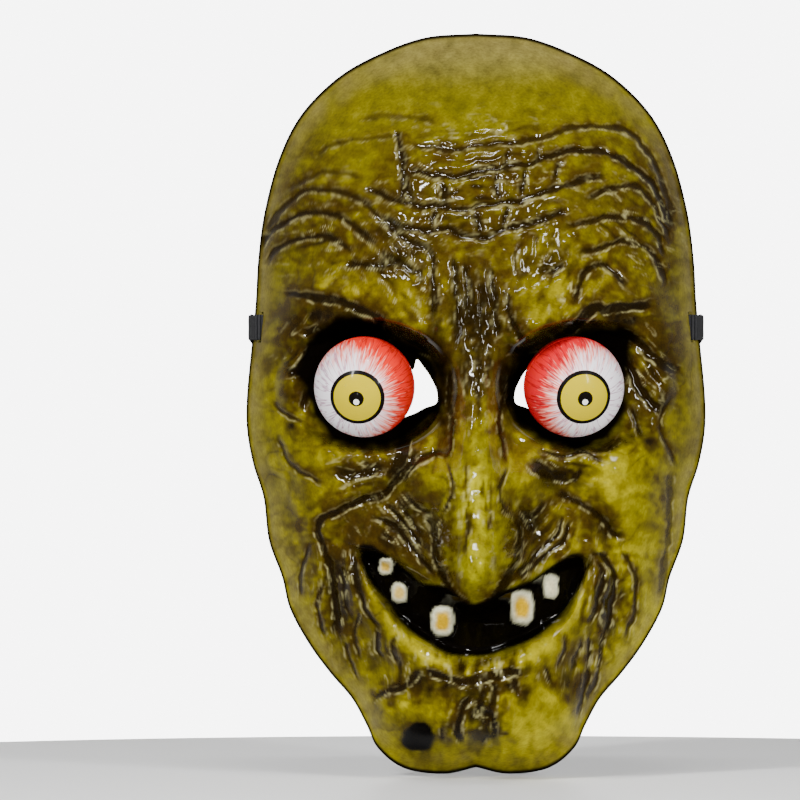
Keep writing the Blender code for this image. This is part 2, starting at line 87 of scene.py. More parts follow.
# Spring mount
CUP_CLEARANCE = 0.45 * MM
CUP_WALL = 1.2 * MM
CUP_ANGLE = math.radians(26)
BOSS_RADIUS = 0.004
BOSS_LENGTH = 0.0022
WIRE_RADIUS = 0.45 * MM
COIL_TURNS = 4.5
COIL_RADIUS = BOSS_RADIUS + GAP + WIRE_RADIUS
COIL_SPLIT = 0.72  # share of the coil in its rear piece, between the root and the spring's front
BRACKET_WEB_Y = -0.0245
SEAT_RADIUS = 0.0065
SEAT_FLANGE = 1.0 * MM

# Head strap
STRAP_Z = 0.0285
STRAP_WIDTH = 0.0095
STRAP_SHEET = 1.0 * MM
STITCH = 0.0011
SLOT_HEIGHT = 0.0115
SLOT_WIDTH = 0.0036
SLOT_DEPTH_Y = 0.010
SLOT_CUT = 0.008
STRAP_LOOP = [
    (-0.0036, 0.0235), (-0.0035, 0.0185), (-0.0030, 0.0130), (-0.0024, 0.0070), (-0.0022, 0.0030),
    (-0.00216, 0.0012), (-0.00173, 0.00037), (-0.0006, -0.0001), (0.00063, 0.00037), (0.00125, 0.0013),
    (0.00145, 0.0040), (0.00150, 0.0085), (0.00125, 0.0115), (0.0001, 0.0138), (-0.0013, 0.0160),
    (-0.0020, 0.0185), (-0.0024, 0.0225),
]  # fmt: skip
STRAP_HANG = [
    (0.0815, 0.0185, 0.0225), (0.0780, 0.0215, 0.0135), (0.0730, 0.0225, 0.0030), (0.0650, 0.0230, -0.0110),
    (0.0540, 0.0230, -0.0260), (0.0400, 0.0230, -0.0395), (0.0220, 0.0230, -0.0485), (0, 0.0230, -0.0515),
]  # fmt: skip

SIDES = {"left": -1, "right": 1}
CAMERA_DISTANCE = 3.0
CAMERA_HEIGHT = 0.0011
CAMERA_LENS = 356.8
CAMERA_SHIFT = -0.095

# Wrinkles and cracks in the skin: (width, depth, stain, points), in mm as seen from the front
FOREHEAD = [
    (1.6, 0.35, 0.35, [(-45, 108), (-35, 108.5), (-22, 108), (-14, 106)]),
    (1.2, 0.45, 0.4, [(-62, 94), (-55, 97), (-48, 99.5), (-38, 100.5), (-28, 101)]),
    (1.5, 0.8, 0.7, [(-25, 98), (-15, 96.5), (-5, 96), (1, 97.5), (10, 98.5), (20, 99), (28, 101.5),
        (38, 104.3), (50, 104.8), (57, 103), (63, 97.5), (68, 90), (72, 80), (75, 68)]),
    (1.2, 0.5, 0.45, [(-72, 80), (-65, 84.5), (-57, 87), (-48, 86.5), (-42, 84.5)]),
    (1.8, 1.1, 0.9, [(-27, 88), (-20, 87), (-12, 86), (-5, 86.5), (2, 88.5), (12, 90), (20, 90.5), (28, 93.5),
        (38, 96), (46, 95.5), (54, 92.5), (60, 89), (66, 83.5), (71, 75), (74, 65)]),
    (1.5, 0.8, 0.75, [(-80, 64), (-74, 73), (-67, 79), (-60, 80.7), (-50, 79.5), (-43, 76), (-38, 71.5),
        (-30, 65.5), (-27, 63)]),
    (1.6, 1.05, 0.9, [(-42, 82), (-36, 79), (-29, 76.5), (-22, 74.5), (-12, 74), (-5, 73), (2, 74.5),
        (10, 75.5), (18, 76.5), (25, 79.5), (33, 82), (42, 85), (50, 86)]),
    (1.5, 0.8, 0.75, [(42, 77), (52, 81), (60, 82), (66, 77), (70, 70), (73, 61)]),
    (1.6, 0.9, 0.85, [(-82, 58), (-77, 65), (-70, 70), (-62, 72), (-55, 71.5), (-48, 68), (-41, 62),
        (-38, 58.5)]),
    (1.7, 1, 0.9, [(-36, 72), (-30, 67), (-24, 66), (-17, 65), (-10, 66), (-5, 63), (3, 62.5), (8, 65),
        (16, 67), (22, 68.5), (30, 71), (35, 73.5)]),
    (1.5, 0.85, 0.8, [(33, 66), (40, 68), (48, 70), (56, 70), (63, 68.5), (68, 64), (72, 55)]),
    (1.5, 0.85, 0.85, [(-80, 52), (-74, 59), (-66, 62.5), (-58, 62.8), (-52, 60.5), (-47, 56)]),
    (1.5, 0.85, 0.8, [(38, 56), (45, 58), (50, 60), (57, 61.3), (64, 59), (69, 53), (72, 44)]),
    (1.8, 0.8, 0.95, [(-50, 53), (-42, 52), (-35, 53), (-28, 53)]),
    (1.6, 0.8, 0.9, [(-36, 57), (-30, 53), (-24, 50), (-21, 49), (-22, 43)]),
    (1.6, 0.9, 0.9, [(-35, 69), (-28, 63), (-22, 60), (-18, 58), (-16, 50), (-16, 40), (-16, 32)]),
    (1.6, 0.8, 0.85, [(35, 53), (28, 50), (24, 49)]),
    (1.7, 0.9, 0.9, [(38, 36), (39, 44), (42, 50), (47, 52.5), (52, 50), (56, 45), (58, 43)]),
    (1.4, 0.9, 0.95, [(-30, 104), (-29, 96), (-28, 90), (-26, 82), (-24, 75)]),
    (1.6, 0.9, 1, [(-13, 85), (-12, 79), (-12, 73)]),
    (1.6, 0.9, 1, [(0, 74), (1, 68), (1, 62)]),
    (1.2, 0.8, 0.9, [(-27, 88), (-28, 80), (-29, 76)]),
    (1.5, 0.8, 0.95, [(19, 90), (18, 84), (17, 77)]),
    (1.4, 0.8, 0.9, [(33, 93), (31, 88), (30, 82)]),
    (1.5, 0.8, 0.95, [(-14, 74), (-16, 70), (-17, 65)]),
    (1.5, 0.8, 0.95, [(13, 76), (11, 71), (10, 65)]),
    (1.2, 0.8, 0.9, [(13, 97), (11, 90)]),
    (1.2, 0.8, 0.9, [(24, 98), (24, 91)]),
    (1.5, 0.8, 0.95, [(8, 88), (8, 82), (9, 76)]),
    (0.9, 0.6, 0.6, [(-31, 62), (-29, 54)]),
    (0.9, 0.6, 0.6, [(-24, 60), (-25, 53)]),
    (0.9, 0.6, 0.6, [(17, 62), (15, 54), (16, 47)]),
    (0.9, 0.6, 0.6, [(24, 64), (22, 57)]),
    (0.9, 0.5, 0.6, [(-35, 60), (-36, 50)]),
]  # fmt: skip
EYES = [
    (2.4, 1, 1, [(-74, 40.5), (-66, 41), (-60, 39.5), (-50, 38), (-42, 34), (-36, 31), (-32, 25), (-22, 21),
        (-15, 18)]),
    (2.4, 1, 1, [(10, 20), (20, 20), (30, 24), (38, 30), (45, 36), (50, 36), (60, 36.5), (68, 38)]),
    (2.3, 1, 1, [(52, 28), (60, 24), (66, 18), (73, 14), (78, 12)]),
    (2.6, 1, 1, [(57, 18), (60, 9), (65, 1), (71, -4)]),
    (1.2, 0.8, 0.8, [(58, 0), (60, -6), (63, -14)]),
    (2.6, 1, 1, [(-60, 24), (-66, 14), (-73, 11)]),
    (1.8, 0.9, 0.95, [(-58, 30), (-63, 27), (-67, 28)]),
    (1.6, 0.8, 0.9, [(-64, 5), (-66, -4)]),
    (1.7, 1, 1, [(-9, 56), (-8, 50), (-7, 42), (-6, 30), (-7, 22)]),
    (1.4, 0.9, 1, [(-4, 54), (-3, 45), (-3, 35), (-2, 28)]),
    (1.7, 1, 1, [(5, 52), (6, 43), (7, 33), (8, 24)]),
    (1.5, 0.9, 0.95, [(11, 44), (12, 36), (15, 28), (18, 22)]),
    (0.9, 0.6, 0.8, [(1, 47), (2, 38), (1, 28), (2, 20)]),
    (0.8, 0.5, 0.75, [(0, 19), (1.5, 13), (0.5, 6), (2, 1)]),
    (0.8, 0.5, 0.7, [(4.5, 20), (5, 12), (4, 5)]),
    (0.8, 0.4, 0.6, [(-4, 16), (-5, 8), (-3, 2)]),
    (1.1, 0.9, 0.95, [(-0.6, -18.3), (0.6, -18.3)]),
]  # fmt: skip
LEFT_CHEEK = [
    (2, 1.1, 0.95, [(-22, -18), (-27, -25), (-31, -31), (-37, -35), (-44, -37), (-52, -41), (-58, -44),
        (-60, -49), (-58, -54), (-56, -60), (-54, -68), (-53, -78), (-52, -88)]),
    (3.4, 1, 1, [(-27, -12), (-28, -20), (-32, -30)]),
    (3, 0.8, 0.85, [(-54, -26), (-44, -27), (-34, -23)]),
    (1.6, 0.9, 0.9, [(-28, -31), (-26, -27), (-22, -22), (-15, -19), (-11, -20)]),
    (2, 0.9, 0.95, [(-20, -40), (-17, -45), (-16, -50)]),
    (1.3, 0.9, 0.9, [(-31, -36), (-25, -43), (-20, -52)]),
    (1.3, 0.9, 0.9, [(-36, -37), (-30, -42), (-26, -47), (-20, -57)]),
    (1.2, 0.8, 0.85, [(-36, -48), (-30, -53)]),
    (1.3, 0.9, 0.9, [(-40, -43), (-32, -46), (-26, -53), (-20, -60), (-15, -66)]),
    (1.4, 0.9, 0.9, [(-53, -60), (-50, -66), (-49, -74), (-48, -80)]),
    (1.5, 0.9, 0.9, [(-47, -55), (-46, -63), (-44, -72), (-40, -80), (-36, -86)]),
]  # fmt: skip
RIGHT_CHEEK = [
    (1.6, 1, 0.95, [(30, -33), (36, -37), (41, -39), (47, -44), (52, -49), (57, -49.5)]),
    (3, 1, 1, [(20, -21), (28, -28), (37, -27)]),
    (1.3, 0.9, 0.9, [(33, -42), (30, -50), (22, -58), (14, -66)]),
    (1.3, 0.9, 0.9, [(36, -44), (32, -53), (22, -61), (15, -67)]),
    (1.5, 0.9, 0.9, [(42, -56), (48, -58), (52, -65), (51, -74), (50, -82), (48, -88)]),
    (1.4, 0.9, 0.85, [(45, -58), (48, -65), (46, -75), (42, -85)]),
    (1, 0.5, 0.7, [(52, -73), (57, -71)]),
    (1, 0.5, 0.7, [(61, -77), (61, -81)]),
    (1.8, 0.4, 0.55, [(74, -25), (73, -40), (72, -55), (69, -75)]),
    (1.6, 0.8, 0.85, [(17, -39), (20, -44), (23, -50)]),
    (1.3, 0.8, 0.8, [(24, -18), (31, -20), (41, -19), (49, -23)]),
]  # fmt: skip
CHIN = [
    (2.2, 0.9, 0.95, [(-21, -101), (-14, -103), (-5, -105.5), (2, -104.5), (6, -103), (9, -103), (14, -102),
        (20, -101)]),
    (1.2, 0.8, 0.8, [(-38, -84), (-37, -92), (-35, -98)]),
    (1, 0.6, 0.7, [(-34, -93), (-31, -96), (-29, -98)]),
    (1.6, 1, 0.95, [(-1, -111), (-6, -117), (-7, -126), (-5, -130)]),
    (1.5, 1, 0.9, [(-1, -111), (3, -117), (6, -119), (7, -128)]),
    (1.6, 0.7, 0.8, [(6, -104), (7, -110), (6, -118)]),
    (1, 0.6, 0.75, [(-13, -121), (-12, -130)]),
    (1, 0.6, 0.75, [(9, -125), (14, -125)]),
    (1.6, 0.8, 0.85, [(-22, -101), (-26, -107), (-34, -110), (-40, -113)]),
    (1.2, 0.7, 0.8, [(13, -102), (15, -108), (17, -112)]),
    (1.2, 0.7, 0.75, [(26, -98), (28, -104), (30, -108)]),
    (1.2, 0.7, 0.75, [(41, -88), (38, -96), (36, -103)]),
    (1.3, 0.8, 0.8, [(44, -88), (43, -96), (42, -104), (39, -115), (38, -120)]),
    (1.2, 0.7, 0.75, [(48, -85), (47, -95), (46, -103), (42, -112)]),
]  # fmt: skip
NOSE = [
    (2.2, 0.7, 0.95, [(-15, -42), (-15.5, -52), (-14, -62), (-10, -70), (-5, -75), (0, -77)]),
    (2.2, 0.7, 0.95, [(15, -42), (16, -52), (14, -62), (10, -70), (5, -75), (0, -77)]),
    (1.2, 0.7, 0.8, [(-9, 14), (-10, 4), (-9, -6), (-10, -16), (-12, -22)]),
    (1.2, 0.7, 0.8, [(10, 14), (10, 4), (9, -6), (10, -16), (12, -24)]),
    (1, 0.6, 0.75, [(-12, -22), (-9, -30), (-10, -38), (-14, -42)]),
    (1, 0.6, 0.75, [(12, -24), (9.5, -32), (11, -40), (15, -43)]),
    (1.3, 0.8, 0.85, [(-28, -33), (-24, -38), (-20, -41), (-15, -42)]),
    (1.3, 0.8, 0.85, [(26, -36), (23, -41), (19, -43), (15, -43)]),
    (0.8, 0.4, 0.5, [(-3, -22), (-4, -34), (-3, -46), (-4, -58)]),
    (0.8, 0.4, 0.5, [(5, -26), (5.5, -38), (5, -50)]),
]  # fmt: skip
JAW = [
    (1.1, 0.6, 0.7, [(-62, -52), (-66, -62), (-66, -74)]),
    (1.1, 0.6, 0.7, [(-57, -66), (-60, -78), (-56, -90)]),
    (1, 0.6, 0.65, [(-44, -78), (-46, -88), (-43, -98)]),
    (1, 0.6, 0.65, [(-50, -88), (-48, -98), (-44, -106)]),
    (1, 0.6, 0.65, [(-30, -86), (-31, -94), (-28, -102)]),
    (1.1, 0.6, 0.7, [(56, -56), (60, -66), (60, -78), (56, -90)]),
    (1, 0.6, 0.65, [(34, -86), (33, -94), (30, -100)]),
    (1.2, 0.6, 0.6, [(-76, -12), (-72, -20), (-66, -26), (-58, -31)]),
    (1.2, 0.6, 0.6, [(-78, 2), (-72, -4), (-64, -8)]),
    (1.2, 0.6, 0.6, [(74, 4), (70, -6), (72, -16), (76, -24)]),
    (1, 0.5, 0.55, [(-46, -20), (-40, -24), (-34, -24)]),
    (1, 0.5, 0.6, [(56, -12), (50, -17), (43, -18)]),
]  # fmt: skip
LIP_TICKS = [
    (0.8, 0.45, 0.60, [(3.6 * i, 0.3 * abs(i) ** 1.7 - 96.2), (3.8 * i, 0.3 * abs(i) ** 1.7 - 100.2)])
    for i in range(-5, 6)
]
STROKES = FOREHEAD + EYES + LEFT_CHEEK + RIGHT_CHEEK + CHIN + NOSE + JAW + LIP_TICKS
# Bundles of fine streaks: (x, z, half width, half height, direction in degrees from +X, depth), in mm
STREAKS = [
    (1, 35, 12, 20, 90, 0.5), (-28, 44, 15, 13, -55, 0.55), (29, 45, 13, 13, 60, 0.42),
    (-30, -50, 14, 13, -52, 0.9), (25, -53, 12, 13, 52, 0.9), (-49, -74, 11, 18, 97, 0.8),
    (48, -74, 11, 18, 83, 0.8), (43, -101, 8, 16, 78, 0.7), (-31, -98, 10, 12, 100, 0.6),
    (0, 82, 34, 20, 3, 0.25), (5, 104, 17, 3, 4, 0.8), (0, 6, 6, 16, 90, 0.6), (65, 12, 9, 14, -52, 0.45),
    (0, -44, 8, 24, 90, 0.25), (-66, 17, 8, 12, 50, 0.7), (-58, 62, 20, 12, 12, 0.35),
    (58, 66, 18, 16, -30, 0.35), (0, -118, 9, 10, 80, 0.8), (0, -100, 30, 5, 88, 0.4),
    (-44, -27, 13, 6, 15, 0.6), (36, -24, 12, 6, -12, 0.6),
]  # fmt: skip
# Broad shading, partly olive wash and partly painted shade in the hollows, round the sockets, under the brows and
# beside the nose: (x, z, half width, half height, strength), in mm
SHADES = [
    (-62, 29, 15, 8, 0.85), (62, 29, 12, 8, 0.85), (63, -4, 10, 12, 0.55), (-42, 8, 34, 30, 0.75),
    (38, 8, 32, 28, 0.75), (0, 34, 16, 24, 0.8), (-30, 62, 26, 12, 0.55), (16, 62, 22, 14, 0.5),
    (-34, -48, 26, 18, 0.9), (30, -48, 22, 16, 0.85), (-52, -74, 10, 22, 0.65), (50, -74, 10, 22, 0.6),
    (0, -107, 30, 7, 0.45), (0, -118, 12, 12, 0.6), (-28, -106, 14, 10, 0.5), (34, -104, 14, 14, 0.5),
    (-66, 20, 14, 26, 0.6), (70, 24, 12, 30, 0.55), (0, 80, 36, 14, 0.35), (-58, 68, 24, 14, 0.45),
    (60, 66, 20, 22, 0.45), (-24, -122, 12, 12, 0.45), (0, -4, 12, 14, 0.3), (-15, -52, 4, 16, 0.8),
    (16, -52, 4, 16, 0.8), (-70, 84, 8, 22, 0.45), (72, 84, 8, 22, 0.45), (0, 92, 40, 6, 0.4),
    (-24, 80, 10, 14, 0.4), (-70, -46, 8, 22, 0.35), (66, -30, 8, 22, 0.35),
]  # fmt: skip
# Raised folds: (width, height, points)
FOLDS = [
    (3, 1.2, [(-44, -60), (-41, -70), (-35, -80), (-27, -91), (-18, -97), (-8, -101.5), (0, -103), (8, -101),
        (18, -97.5), (28, -91), (35, -82), (41, -73)]),
    (2, 1, [(40, -54), (47, -55), (53, -60), (56, -66), (58, -69)]),
    (2, 1, [(26, -42), (28, -46), (22, -54)]),
    (1.8, 0.8, [(-80, -20), (-76, -25), (-73, -27), (-71, -33), (-68, -40), (-65, -45)]),
    (3.5, 1, [(20, -25), (25, -32), (24, -37)]),
    (2.5, 0.9, [(-64, 46), (-52, 45), (-42, 42)]),
    (2.5, 0.9, [(28, 40), (33, 44), (36, 50)]),
    (2, 0.8, [(-12, 46), (-11, 36), (-11, 26)]),
    (1.6, 0.8, [(0.5, -110), (0, -118), (1, -124)]),
]  # fmt: skip
# Blots of dark wash, some of them painted shade under the brows and beside the nose: (x, z, half width, half
# height, strength), in mm
BLOTS = [
    (-14, 79, 10, 3.5, 0.5), (9, 85, 9, 3, 0.5), (-32, 66, 9, 4.5, 0.7), (22, 71, 9, 3.5, 0.5),
    (-4, 67, 11, 3, 0.6), (-46, 76, 10, 3.5, 0.4), (46, 78, 9, 3.5, 0.45), (-20, 58, 7, 4, 0.6),
    (-5, -112, 5, 4, 0.9), (4, -127, 6, 4, 0.8), (-11, -122, 3, 3, 0.6), (19, -112, 4, 5, 0.7),
    (-30, -108, 5, 3, 0.6), (34, -104, 3, 7, 0.6), (-38, -94, 3, 7, 0.6), (2, -110, 6, 4, 0.9),
    (3, -121, 7, 6, 0.75), (-14, -107, 9, 3, 0.8), (10, -107, 8, 2.5, 0.75), (-52, -76, 4, 11, 0.95),
    (49, -76, 4, 11, 0.95), (-46, -66, 3, 6, 0.8), (-16, -50, 3, 10, 0.55), (17, -50, 3, 10, 0.6),
    (-25, -38, 4, 3, 0.7), (-26, 82, 3, 5, 0.8), (-28, 92, 3, 5, 0.7), (-58, 33, 13, 4, 0.9),
    (-68, 30, 6, 5, 0.6), (55, 32, 10, 3.5, 0.9), (-30, 56, 8, 4, 0.7), (30, 58, 8, 5, 0.6),
    (-15, 30, 3, 12, 0.6), (15, 30, 3, 10, 0.6), (66, 10, 7, 8, 0.6), (70, 0, 3, 5, 0.8),
    (0, 34, 9, 17, 1.15), (0, 12, 11, 11, 0.6), (-13, 12, 4, 9, 0.8), (13, 12, 4, 9, 0.8),
    (-12, 2, 3, 9, 0.7), (12, 2, 3, 9, 0.7), (-40, 52, 6, 2.5, 0.85), (29, 51.5, 5.5, 2.5, 0.85),
    (66, -15, 4, 3.5, 0.8), (-70, 3, 3.5, 3, 0.8), (-69, -9, 3.5, 3, 0.75), (-54, -63, 4.5, 6, 0.9),
    (37, -27, 6, 5, 1), (28, -28, 5, 5, 0.9), (-36, -50, 22, 13, 0.5), (22, -46, 6, 8, 0.7),
    (47, -47, 9, 5, 0.65), (50, -85, 3, 2, 0.7), (0, -116, 5, 5, 0.85), (-18, -110, 5, 5, 0.75),
    (-22, -104, 4, 3, 0.8), (-22, -126.5, 6.6, 6.4, 1.3), (-44, -26, 11, 4.5, 0.7), (-28, -20, 4, 8, 0.8),
    (0, 10, 5, 12, 0.35), (70, 20, 6, 8, 0.45), (-68, 20, 7, 7, 0.5), (-12, -8, 4, 8, 0.6),
    (13, -12, 3.5, 7, 0.5), (40, -62, 5, 5, 0.4), (-30, 50, 8, 6, 0.4), (18, 52, 6, 8, 0.45),
]  # fmt: skip
# Paint: (x, z, half width, half height, linear colour), in mm. The paint is lighter on the nose, cheekbones,
# brows, jaws and chin, partly as painted light on the bulges
PAINTS = [
    (0, -55, 13, 24, (0.46, 0.38, 0.001)), (10, 104, 60, 24, (0.165, 0.128, 0.002)),
    (0, 134, 44, 9, (0.24, 0.18, 0.02)), (0, 70, 40, 14, (0.24, 0.18, 0.001)),
    (-55, 80, 28, 40, (0.21, 0.16, 0.002)), (48, 85, 28, 30, (0.23, 0.175, 0.001)),
    (62, 0, 22, 26, (0.25, 0.19, 0.002)), (50, -20, 20, 11, (0.54, 0.42, 0.001)),
    (-64, -14, 18, 34, (0.32, 0.245, 0.002)), (-48, -16, 12, 6, (0.38, 0.29, 0.001)),
    (0, -128, 40, 22, (0.58, 0.45, 0.001)), (0, -101, 40, 7, (0.32, 0.245, 0.001)),
    (62, -70, 16, 36, (0.5, 0.39, 0.002)), (-64, -80, 16, 36, (0.42, 0.32, 0.002)),
    (-20, 28, 9, 9, (0.34, 0.26, 0.002)), (21, 30, 9, 9, (0.36, 0.275, 0.002)),
    (-34, 44, 22, 14, (0.28, 0.2, 0.002)), (44, 44, 16, 14, (0.32, 0.24, 0.002)),
    (-38, -52, 20, 12, (0.12, 0.085, 0.001)),
]  # fmt: skip
SOCKET_SHADE = {
    "left": [(-16, 16), (-22, 21), (-32, 25), (-36, 30), (-45, 34), (-55, 31), (-62, 25), (-67, 16), (-70, 11),
             (-65, 5), (-62, -5), (-57, -12), (-48, -16), (-38, -17), (-28, -14), (-20, -8), (-14, -2),
             (-13.5, 6), (-14, 12)],
    "right": [(12.5, 8), (12.5, -1), (16, -8), (25, -14), (35, -18), (45, -17), (52, -12), (56, -5), (57, 5),
              (58, 15), (60, 27), (50, 29), (38, 27), (26, 21), (15, 18)],
}  # fmt: skip
MOUTH_SHADE = [
    (-44, -54), (-40, -53.5), (-36, -56), (-31, -59.5), (-25, -64), (-20, -68), (-12, -69), (-8, -72),
    (-5, -75), (0, -75.7), (5, -74), (9, -71), (15, -69), (22, -66), (28, -62), (32, -59.5), (36, -57),
    (40, -57), (41, -60), (41, -65), (38, -72), (33, -79.5), (27, -85.5), (20, -90), (12, -93), (5, -95.5),
    (-3, -96), (-11, -95), (-18, -91), (-24, -87), (-29, -82), (-33, -76), (-38, -70), (-42, -64),
    (-43.5, -57),
]  # fmt: skip
WART = (-22, -126.5)
# Teeth: (left, right, bottom, top, share of orange)
TEETH = [
    (-37, -31.4, -65, -58.8, 0.9), (-32, -26, -75.6, -67.8, 0.8), (-16.9, -8.4, -88.3, -76.8, 1),
    (13, 21.8, -83.8, -71, 1), (25.4, 31.2, -74, -64.8, 0.2),
]  # fmt: skip

# Linear colours
UMBER = np.array((0.030, 0.014, 0.002))
PITCH = np.array((0.0016, 0.0010, 0.0006))
# Colour of the painted sheen at the sides, where the face turns away
SIDE_SHEEN = np.array((0.26, 0.21, 0.06))
OLIVE = np.array((0.050, 0.030, 0.001))
WASH = np.array((0.011, 0.0062, 0.0010))
# Colour of the painted highlights
HIGHLIGHT_PAINT = np.array((0.56, 0.52, 0.24))
PAINT_LEVEL = np.array((0.67, 0.755, 1.9))
BARE = np.array((0.16, 0.135, 0.030))
SKIN_COAT = 0.7
BARE_COAT = 0.25
INNER_GRID = (171, 223)
OUTER_SHARE = 2  # faces of the outer grid for each of the inner grid

FLOOR_Z = -0.1412
FLOOR_RADIUS = 0.36
# (name, place, aim, size, watts)
LIGHTS = [
    ("key_left", (-0.85, -1.5, 0.95), (0, -0.05, 0), (0.12, 0.60), 44),
    ("key_right", (0.95, -1.5, 0.55), (0, -0.05, 0), (0.09, 0.60), 30),
    ("top_strip", (0.02, -0.75, 1.35), (0, -0.06, 0.05), (0.5, 0.06), 9),
    ("front_fill", (0.1, -1.9, -0.15), (0, -0.05, -0.05), (0.5, 0.5), 18),
]
# Small lights, which put thin highlights on the folds
LIGHTS += [
    ("glint", place, (0, -0.06, -0.02), (0.06, 0.06), 2)
    for place in ((-1.5, -1.6, 0.1), (1.5, -1.5, 0.0), (-0.6, -2.1, -0.6), (0.3, -1.8, 1.5))
]


# Form


def spline(knots, steps, closed=False):
    """Points on a smooth curve through the knots, with this many steps between each two."""
    knots = np.asarray(knots, float)
    if closed:
        padded = np.vstack([knots[-1:], knots, knots[:2]])
    else:
        padded = np.vstack([2 * knots[0] - knots[1], knots, 2 * knots[-1] - knots[-2]])
    t = np.linspace(0, 1, steps, endpoint=False)[:, None]
    spans = []
    for a, b, c, d in zip(padded, padded[1:], padded[2:], padded[3:]):
        cubic = 1.5 * (b - c) + (d - a) / 2
        spans.append(b + t * (c - a) / 2 + t**2 * (a - 2.5 * b + 2 * c - d / 2) + t**3 * cubic)
    points = np.vstack(spans)
    return points if closed else np.vstack([points, knots[-1:]])


def outline_radius(angle):
    curve = spline(OUTLINE, 12)
    return np.interp(np.abs(angle), np.arctan2(curve[:, 0], curve[:, 1]), np.hypot(curve[:, 0], curve[:, 1]))


def ease(t):
    t = np.clip(t, 0, 1)
    return t * t * (3 - 2 * t)


def hill(x, z, centre, spread):
    return np.exp(-(((x - centre[0]) / spread[0]) ** 2) - ((z - centre[1]) / spread[1]) ** 2)


def beside(x, z, a, b):
    """The share along the line from a to b nearest to each place, and the place's offset from there."""
    along = b - a
    share = np.clip(((x - a[0]) * along[0] + (z - a[1]) * along[1]) / (along @ along), 0, 1)
    return share, x - a[0] - share * along[0], z - a[1] - share * along[1]


def ridge(x, z, knots, width):
    line = spline(knots, 6)
    nearest = np.full(np.shape(x), np.inf)
    for a, b in zip(line, line[1:]):
        nearest = np.minimum(nearest, np.hypot(*beside(x, z, a, b)[1:]))
    return np.exp(-((nearest / width) ** 2))


def through(knots, at):
    curve = spline(knots, 8)
    return np.interp(at, curve[:, 0], curve[:, 1])


def dome(rho):
    return DOME_DEPTH * (1 - np.clip(rho, 0, 1) ** 2.6) ** 0.75 - RIM_TRIM


def brow(side_x, z):
    inner = hill(side_x, z, (0.021, 0.028), (0.013, 0.010))
    arch = ridge(side_x, z, [(0.020, 0.030), (0.042, 0.037), (0.062, 0.039), (0.074, 0.026)], 0.009)
    return 0.009 * inner + 0.007 * arch


def cheek(side_x, z):
    fold = ridge(side_x, z, [(0.029, -0.030), (0.044, -0.040), (0.053, -0.058), (0.053, -0.078)], 0.0045)
    bone = hill(side_x, z, (0.058, -0.026), (0.019, 0.020))
    jowl = hill(side_x, z, (0.060, -0.062), (0.012, 0.026))
    return 0.009 * bone + 0.005 * jowl - 0.004 * fold


def nose(x, z):
    rise = [(-0.082, 0), (-0.0765, 0.006), (-0.0725, 0.027), (-0.066, 0.042), (-0.058, 0.045),
            (-0.046, 0.038), (-0.030, 0.027), (-0.012, 0.018), (0.004, 0.012), (0.018, 0.007),
            (0.032, 0.001), (0.045, 0)]  # fmt: skip
    width = [(-0.085, 0.010), (-0.066, 0.0125), (-0.050, 0.0135), (-0.030, 0.0125), (-0.010, 0.0095),
             (0.030, 0.0085)]  # fmt: skip
    return through(rise, z) * np.exp(-((np.abs(x) / through(width, z)) ** 2.5))


def nose_wing(side_x, z):
    wing = hill(side_x, z, (0.0185, -0.029), (0.0085, 0.0105))
    nostril = hill(side_x, z, (0.0195, -0.043), (0.005, 0.0045))
    return 0.012 * wing - 0.005 * nostril


def socket(depth, side_x, z):
    out = np.hypot((side_x - SOCKET_X) / SOCKET_HALF[0], (z - EYE_Z) / SOCKET_HALF[1])
    share = 1 - ease((out - 0.98) / 0.27)
    return depth * (1 - share) + SOCKET_FLOOR * share


def mouth(depth, x, z):
    upper = [(-0.050, -0.052), (-0.0435, -0.0545), (-0.029, -0.059), (-0.011, -0.070), (0, -0.0755),
             (0.012, -0.071), (0.023, -0.0655), (0.032, -0.059), (0.0425, -0.0575), (0.050, -0.057)]  # fmt: skip
    lower = [(-0.050, -0.052), (-0.0435, -0.0585), (-0.038, -0.070), (-0.026, -0.0845), (-0.008, -0.095),
             (0.006, -0.0955), (0.026, -0.0855), (0.0355, -0.078), (0.0425, -0.061), (0.050, -0.057)]  # fmt: skip
    top, bottom = through(upper, x), through(lower, x)
    lip = [(-0.045, -0.066), (-0.031, -0.088), (0, -0.102), (0.031, -0.089), (0.045, -0.068)]
    inside = ease((z - bottom) / 0.006 + 0.3) * ease((top - z) / 0.006 + 0.3)
    return depth + 0.006 * ridge(x, z, lip, 0.0065) - 0.012 * inside


def chin(x, z):
    ball = hill(x, z, (0.001, -0.1175), (0.030, 0.0165))
    cleft = ridge(x, z, [(0.003, -0.116), (0.005, -0.128), (0.002, -0.142)], 0.0035)
    return 0.024 * ball - 0.003 * cleft


def face_depth(x, z, rho):
    side_x = np.abs(x)
    fade = ease((1 - rho) / 0.22)
    forehead = 0.008 * hill(x, z, (0, 0.082), (0.058, 0.042))
    depth = dome(rho) + fade * (forehead + brow(side_x, z) + cheek(side_x, z))
    depth = socket(depth + fade * 0.007 * hill(x, z, (0, -0.070), (0.040, 0.024)), side_x, z)
    depth = depth + nose(x, z) + fade * nose_wing(side_x, z)
    return mouth(depth, x, z) + ease((1 - rho) / 0.12) * chin(x, z)


def rho_at(x, z):
    return np.hypot(x, z) / outline_radius(np.arctan2(x, z))


def disc_point(u, v, packing=0.5, size=0.99853):
    """Where a point of the square grid lies on the outline's disc: x, z and the share of the way to the rim."""
    across, up = u * np.sqrt(1 - v * v / 2), v * np.sqrt(1 - u * u / 2)
    angle = np.arctan2(across, up)
    rho = size * np.sin(np.hypot(across, up) * packing * math.pi / 2) / math.sin(packing * math.pi / 2)
    reach = rho * outline_radius(angle)
    return reach * np.sin(angle), reach * np.cos(angle), rho


# Skin relief and paint, in mm as seen from the front


